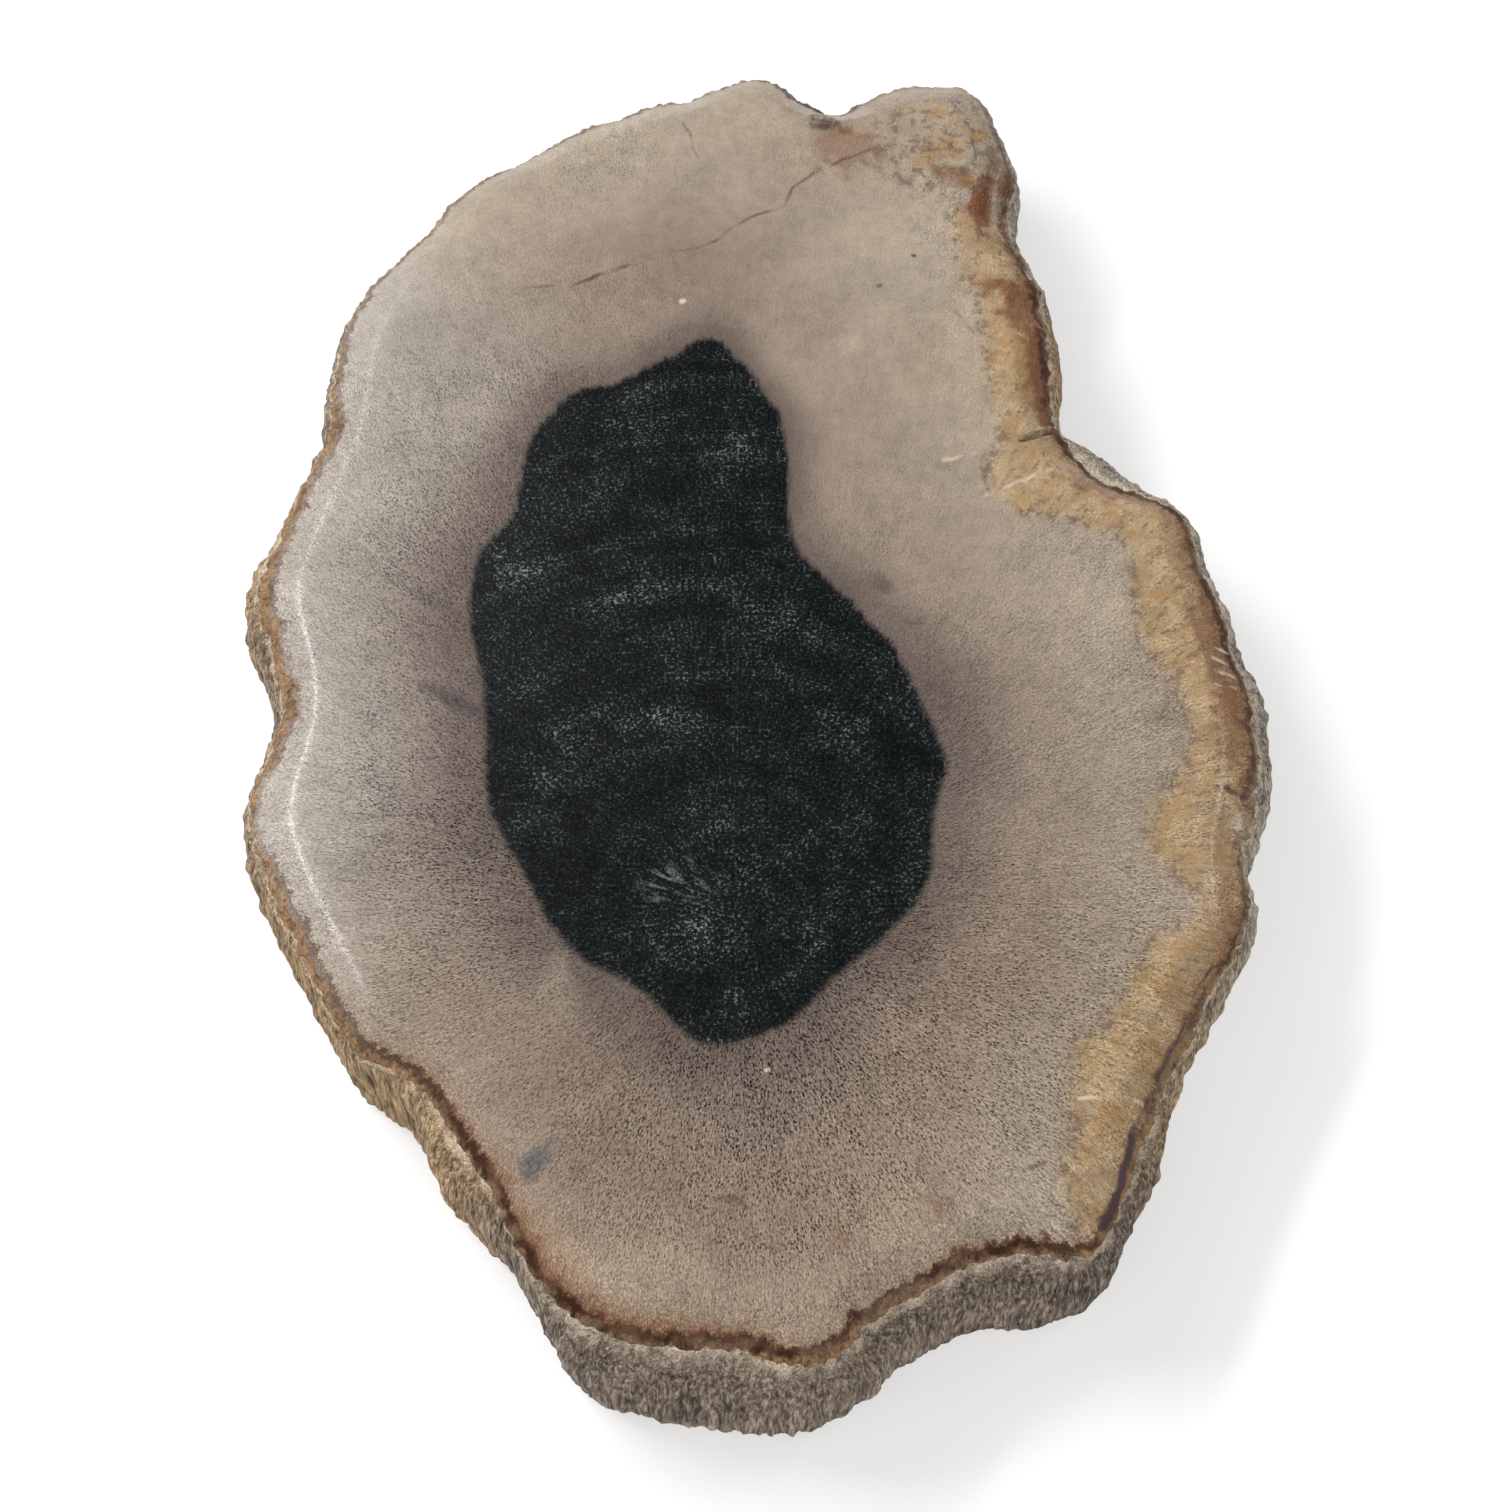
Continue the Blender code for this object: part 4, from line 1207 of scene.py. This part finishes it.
def bark_wall(groups, colours):
    """The stone bark: fibres and ridges down the wall, granular and dull, with a pale broken top edge, and
    painted shade in its grooves and pits.
    """
    material, steps = new_material("stone_bark")
    place = position_mm(steps)
    grain = steps.use(groups["grain"], Position=place)
    sway = steps.noise(steps.vector("MULTIPLY", place, (1, 1, 0.25)), 0.35, 2.0, 0.5)
    leaning = steps.add("ShaderNodeCombineXYZ", {"X": steps.times(sway, 2.0)}).outputs[0]
    place_down = steps.vector("ADD", place, leaning)
    ridges, flecks, threads = (
        steps.noise(steps.vector("MULTIPLY", place_down, scales), 1.0, 3.0, roughness)
        for scales, roughness in (((1.3, 1.3, 0.22), 0.6), ((3.0, 3.0, 0.17), 0.6), ((5.5, 5.5, 0.35), 0.65))
    )
    uneven = steps.math("SUBTRACT", threads, 0.5)
    # the bark's colour follows its relief, darker in the grooves and pits and lighter on the ridges: painted
    # shade over real mottling
    level = steps.total(
        (steps.math("SUBTRACT", ridges, 0.5), 1.2), (uneven, 3.0), (grain["Medium"], 0.5),
        (grain["Broad"], 0.7), (steps.field("relief"), 0.8),
    )
    bark = steps.field("zone_colour", "Color")
    base = steps.shaded(bark, level)
    pale = steps.mix(0.45, steps.shaded(base, 1.0), colours.bark_fleck)
    base = steps.mix(steps.step(flecks, 0.51, 0.62, 0.0, 0.9), base, pale)
    # painted shade in the grooves, where the fleck noise also sinks the bump
    base = steps.mix(steps.step(flecks, 0.37, 0.47, 0.75, 0.0), base, steps.shaded(base, -0.78))

    drop = steps.total(
        (steps.math("SUBTRACT", flecks, 0.5), 3.0), (grain["Medium"], 2.2), start=steps.field("rim_drop")
    )
    broken = steps.step(steps.noise(place, 0.5, 3.0, 0.6), 0.40, 0.54, 0.15, 1.0)
    crust = steps.times(steps.step(drop, 0.3, 0.8, 1.0, 0.0), broken)
    pale = steps.shaded(steps.mix(0.55, bark, colours.crust), steps.total((uneven, 3.0), start=0.2))
    base = steps.mix(steps.times(crust, 0.9), base, pale)
    height = steps.total((ridges, 1.2), (threads, 0.5), (flecks, 1.0))
    finish(steps, base, 0.88, 0.25, height, 0.9, 0.0006)
    return material


def sawn_underside(groups, colours):
    """The sawn underside: the same stone unpolished, with faint saw lines."""
    material, steps = new_material("sawn_petrified_wood")
    place = position_mm(steps)
    stone = steps.use(groups["cut stone"], Position=place, Contrast=0.8)
    grain = steps.use(groups["grain"], Position=place)
    saw = steps.noise(steps.vector("MULTIPLY", place, (0.05, 1.6, 1.0)), 1.0, 3.0, 0.7)
    base = steps.shaded(stone["Color"], steps.times(steps.math("SUBTRACT", saw, 0.5), 0.35))
    base = steps.mix(0.16, base, colours.pale)
    height = steps.total((grain["Fine"], 0.6), start=saw)
    finish(steps, base, 0.62, 0.35, height, 0.5, 0.00012)
    return material


class OBJECT_OT_stone_slice(bpy.types.Operator):
    """Build the slice of petrified wood on its frame"""

    bl_idname = "object.stone_slice"
    bl_label = "Stone slice"

    def execute(self, context):
        colours = context.scene.slice_colours
        stone = make_slice(context)
        makers = {"rays": rays_group, "grain": grain_group, "fibres": fibres_group, "pores": pores_group}
        groups = {name: make() for name, make in makers.items()}
        groups["cut stone"] = cut_stone_group(groups, colours)
        for maker in (polished_face, bark_wall, sawn_underside):
            stone.data.materials.append(maker(groups, colours))
        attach(stone, "root")
        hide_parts(NODE)
        return {"FINISHED"}


# ---------------------------------------------------------------- stage


def area_light(name, direction, distance, size, power, target):
    """A rectangular soft light that shines at the target from a direction."""
    lamp = bpy.data.lights.new(name, "AREA")
    lamp.shape = "RECTANGLE"
    lamp.size, lamp.size_y = size
    lamp.energy = power
    holder = bpy.data.objects.new(name, lamp)
    bpy.context.scene.collection.objects.link(holder)
    way = Vector(direction).normalized()
    holder.location = target + way * distance
    holder.rotation_mode = "QUATERNION"
    holder.rotation_quaternion = way.to_track_quat("Z", "Y")


# soft lights: name, direction from the slice, distance in m, width and height in m, power in W
LIGHTS = [
    ("key_front", (0.1, -0.75, 0.70), 1.7, (3.2, 1.4), 9.4),
    ("fill_over", (0.0, -0.36, 1.0), 1.6, (2.6, 1.0), 9.4),
    ("veil_left", (-0.56, 0.44, 0.70), 0.9, (0.70, 0.50), 3.0),
    ("edge_left", (-0.60, 0.34, 0.72), 0.8, (0.46, 0.07), 3.8),
    ("edge_right", (0.75, 0.35, 0.60), 0.9, (0.24, 0.10), 0.8),
]


AIM = (0.00045, -0.01383)  # where the camera aims, from the middle of the face, in m
FLOOR_HALF = 4.0  # half the floor's side, in m
FLOOR_GAP = 0.0001  # the floor lies this far under the slice, in m
BACKDROP, ROOM = 1.0, 0.15  # strength of the surroundings as the camera sees them, and as light


class SCENE_OT_slice_stage(bpy.types.Operator):
    """Set the floor, the lights and the camera round the slice"""

    bl_idname = "scene.slice_stage"
    bl_label = "Stage"

    def execute(self, context):
        scene = context.scene
        stage = scene.slice_stage
        low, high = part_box(NODE)
        middle = (low + high) / 2
        target = Vector((middle.x + AIM[0], middle.y + AIM[1], high.z))

        mesh = bpy.data.meshes.new("floor")
        corners = [(x * FLOOR_HALF, y * FLOOR_HALF, 0) for x, y in ((-1, -1), (1, -1), (1, 1), (-1, 1))]
        mesh.from_pydata(corners, [], [(0, 1, 2, 3)])
        floor = bpy.data.objects.new("floor", mesh)
        floor.location.z = -FLOOR_GAP
        scene.collection.objects.link(floor)
        material, steps = new_material("plain_floor")
        shader = finish(steps, stage.floor, 0.9, 0.0)
        steps.put(shader.inputs["Emission Color"], (1, 1, 1))
        steps.put(shader.inputs["Emission Strength"], stage.floor_glow)
        mesh.materials.append(material)

        for name, direction, distance, size, power in LIGHTS:
            area_light(name, direction, distance, size, power, target)

        world = bpy.data.worlds.new("soft_room")
        scene.world = world
        world.use_nodes = True
        world.node_tree.nodes.clear()
        steps = Steps(world.node_tree)
        seen = steps.add("ShaderNodeBackground", {"Color": (1, 1, 1), "Strength": BACKDROP})
        room = steps.add("ShaderNodeBackground", {"Color": (1, 1, 1), "Strength": ROOM})
        path = steps.add("ShaderNodeLightPath")
        either = steps.add("ShaderNodeMixShader")
        steps.put(either.inputs[0], path.outputs["Is Camera Ray"])
        steps.put(either.inputs[1], room.outputs[0])
        steps.put(either.inputs[2], seen.outputs[0])
        out = steps.add("ShaderNodeOutputWorld")
        steps.put(out.inputs["Surface"], either.outputs[0])

        camera = bpy.data.cameras.new("camera")
        camera.lens = stage.lens
        camera.clip_start = 0.01
        holder = bpy.data.objects.new("camera", camera)
        scene.collection.objects.link(holder)
        back = Vector((0, -math.cos(stage.elevation), math.sin(stage.elevation)))
        holder.location = target + back * stage.distance
        holder.rotation_mode = "QUATERNION"
        holder.rotation_quaternion = back.to_track_quat("Z", "Y")
        scene.camera = holder
        scene.view_settings.view_transform = "Standard"
        return {"FINISHED"}


class VIEW3D_PT_wood_slice(bpy.types.Panel):
    """Builds the slice and its stage"""

    bl_label = "Wood slice"
    bl_idname = "VIEW3D_PT_wood_slice"
    bl_space_type = "VIEW_3D"
    bl_region_type = "UI"
    bl_category = "Wood slice"

    def draw(self, context):
        layout = self.layout
        for operator in (OBJECT_OT_stone_slice, SCENE_OT_slice_stage):
            layout.operator(operator.bl_idname)
        for settings in (context.scene.slice_sizes, context.scene.slice_colours, context.scene.slice_stage):
            column = layout.column()
            for name in settings.__annotations__:
                column.prop(settings, name)


CLASSES = (SliceSizes, SliceColours, StageSettings, OBJECT_OT_stone_slice, SCENE_OT_slice_stage,
           VIEW3D_PT_wood_slice)


def register():
    for made in CLASSES:
        bpy.utils.register_class(made)
    bpy.types.Scene.slice_sizes = PointerProperty(type=SliceSizes)
    bpy.types.Scene.slice_colours = PointerProperty(type=SliceColours)
    bpy.types.Scene.slice_stage = PointerProperty(type=StageSettings)


def unregister():
    del bpy.types.Scene.slice_stage
    del bpy.types.Scene.slice_colours
    del bpy.types.Scene.slice_sizes
    for made in reversed(CLASSES):
        bpy.utils.unregister_class(made)


def main():
    register()
    bpy.ops.object.stone_slice()
    bpy.ops.scene.slice_stage()


if __name__ == "__main__":
    main()
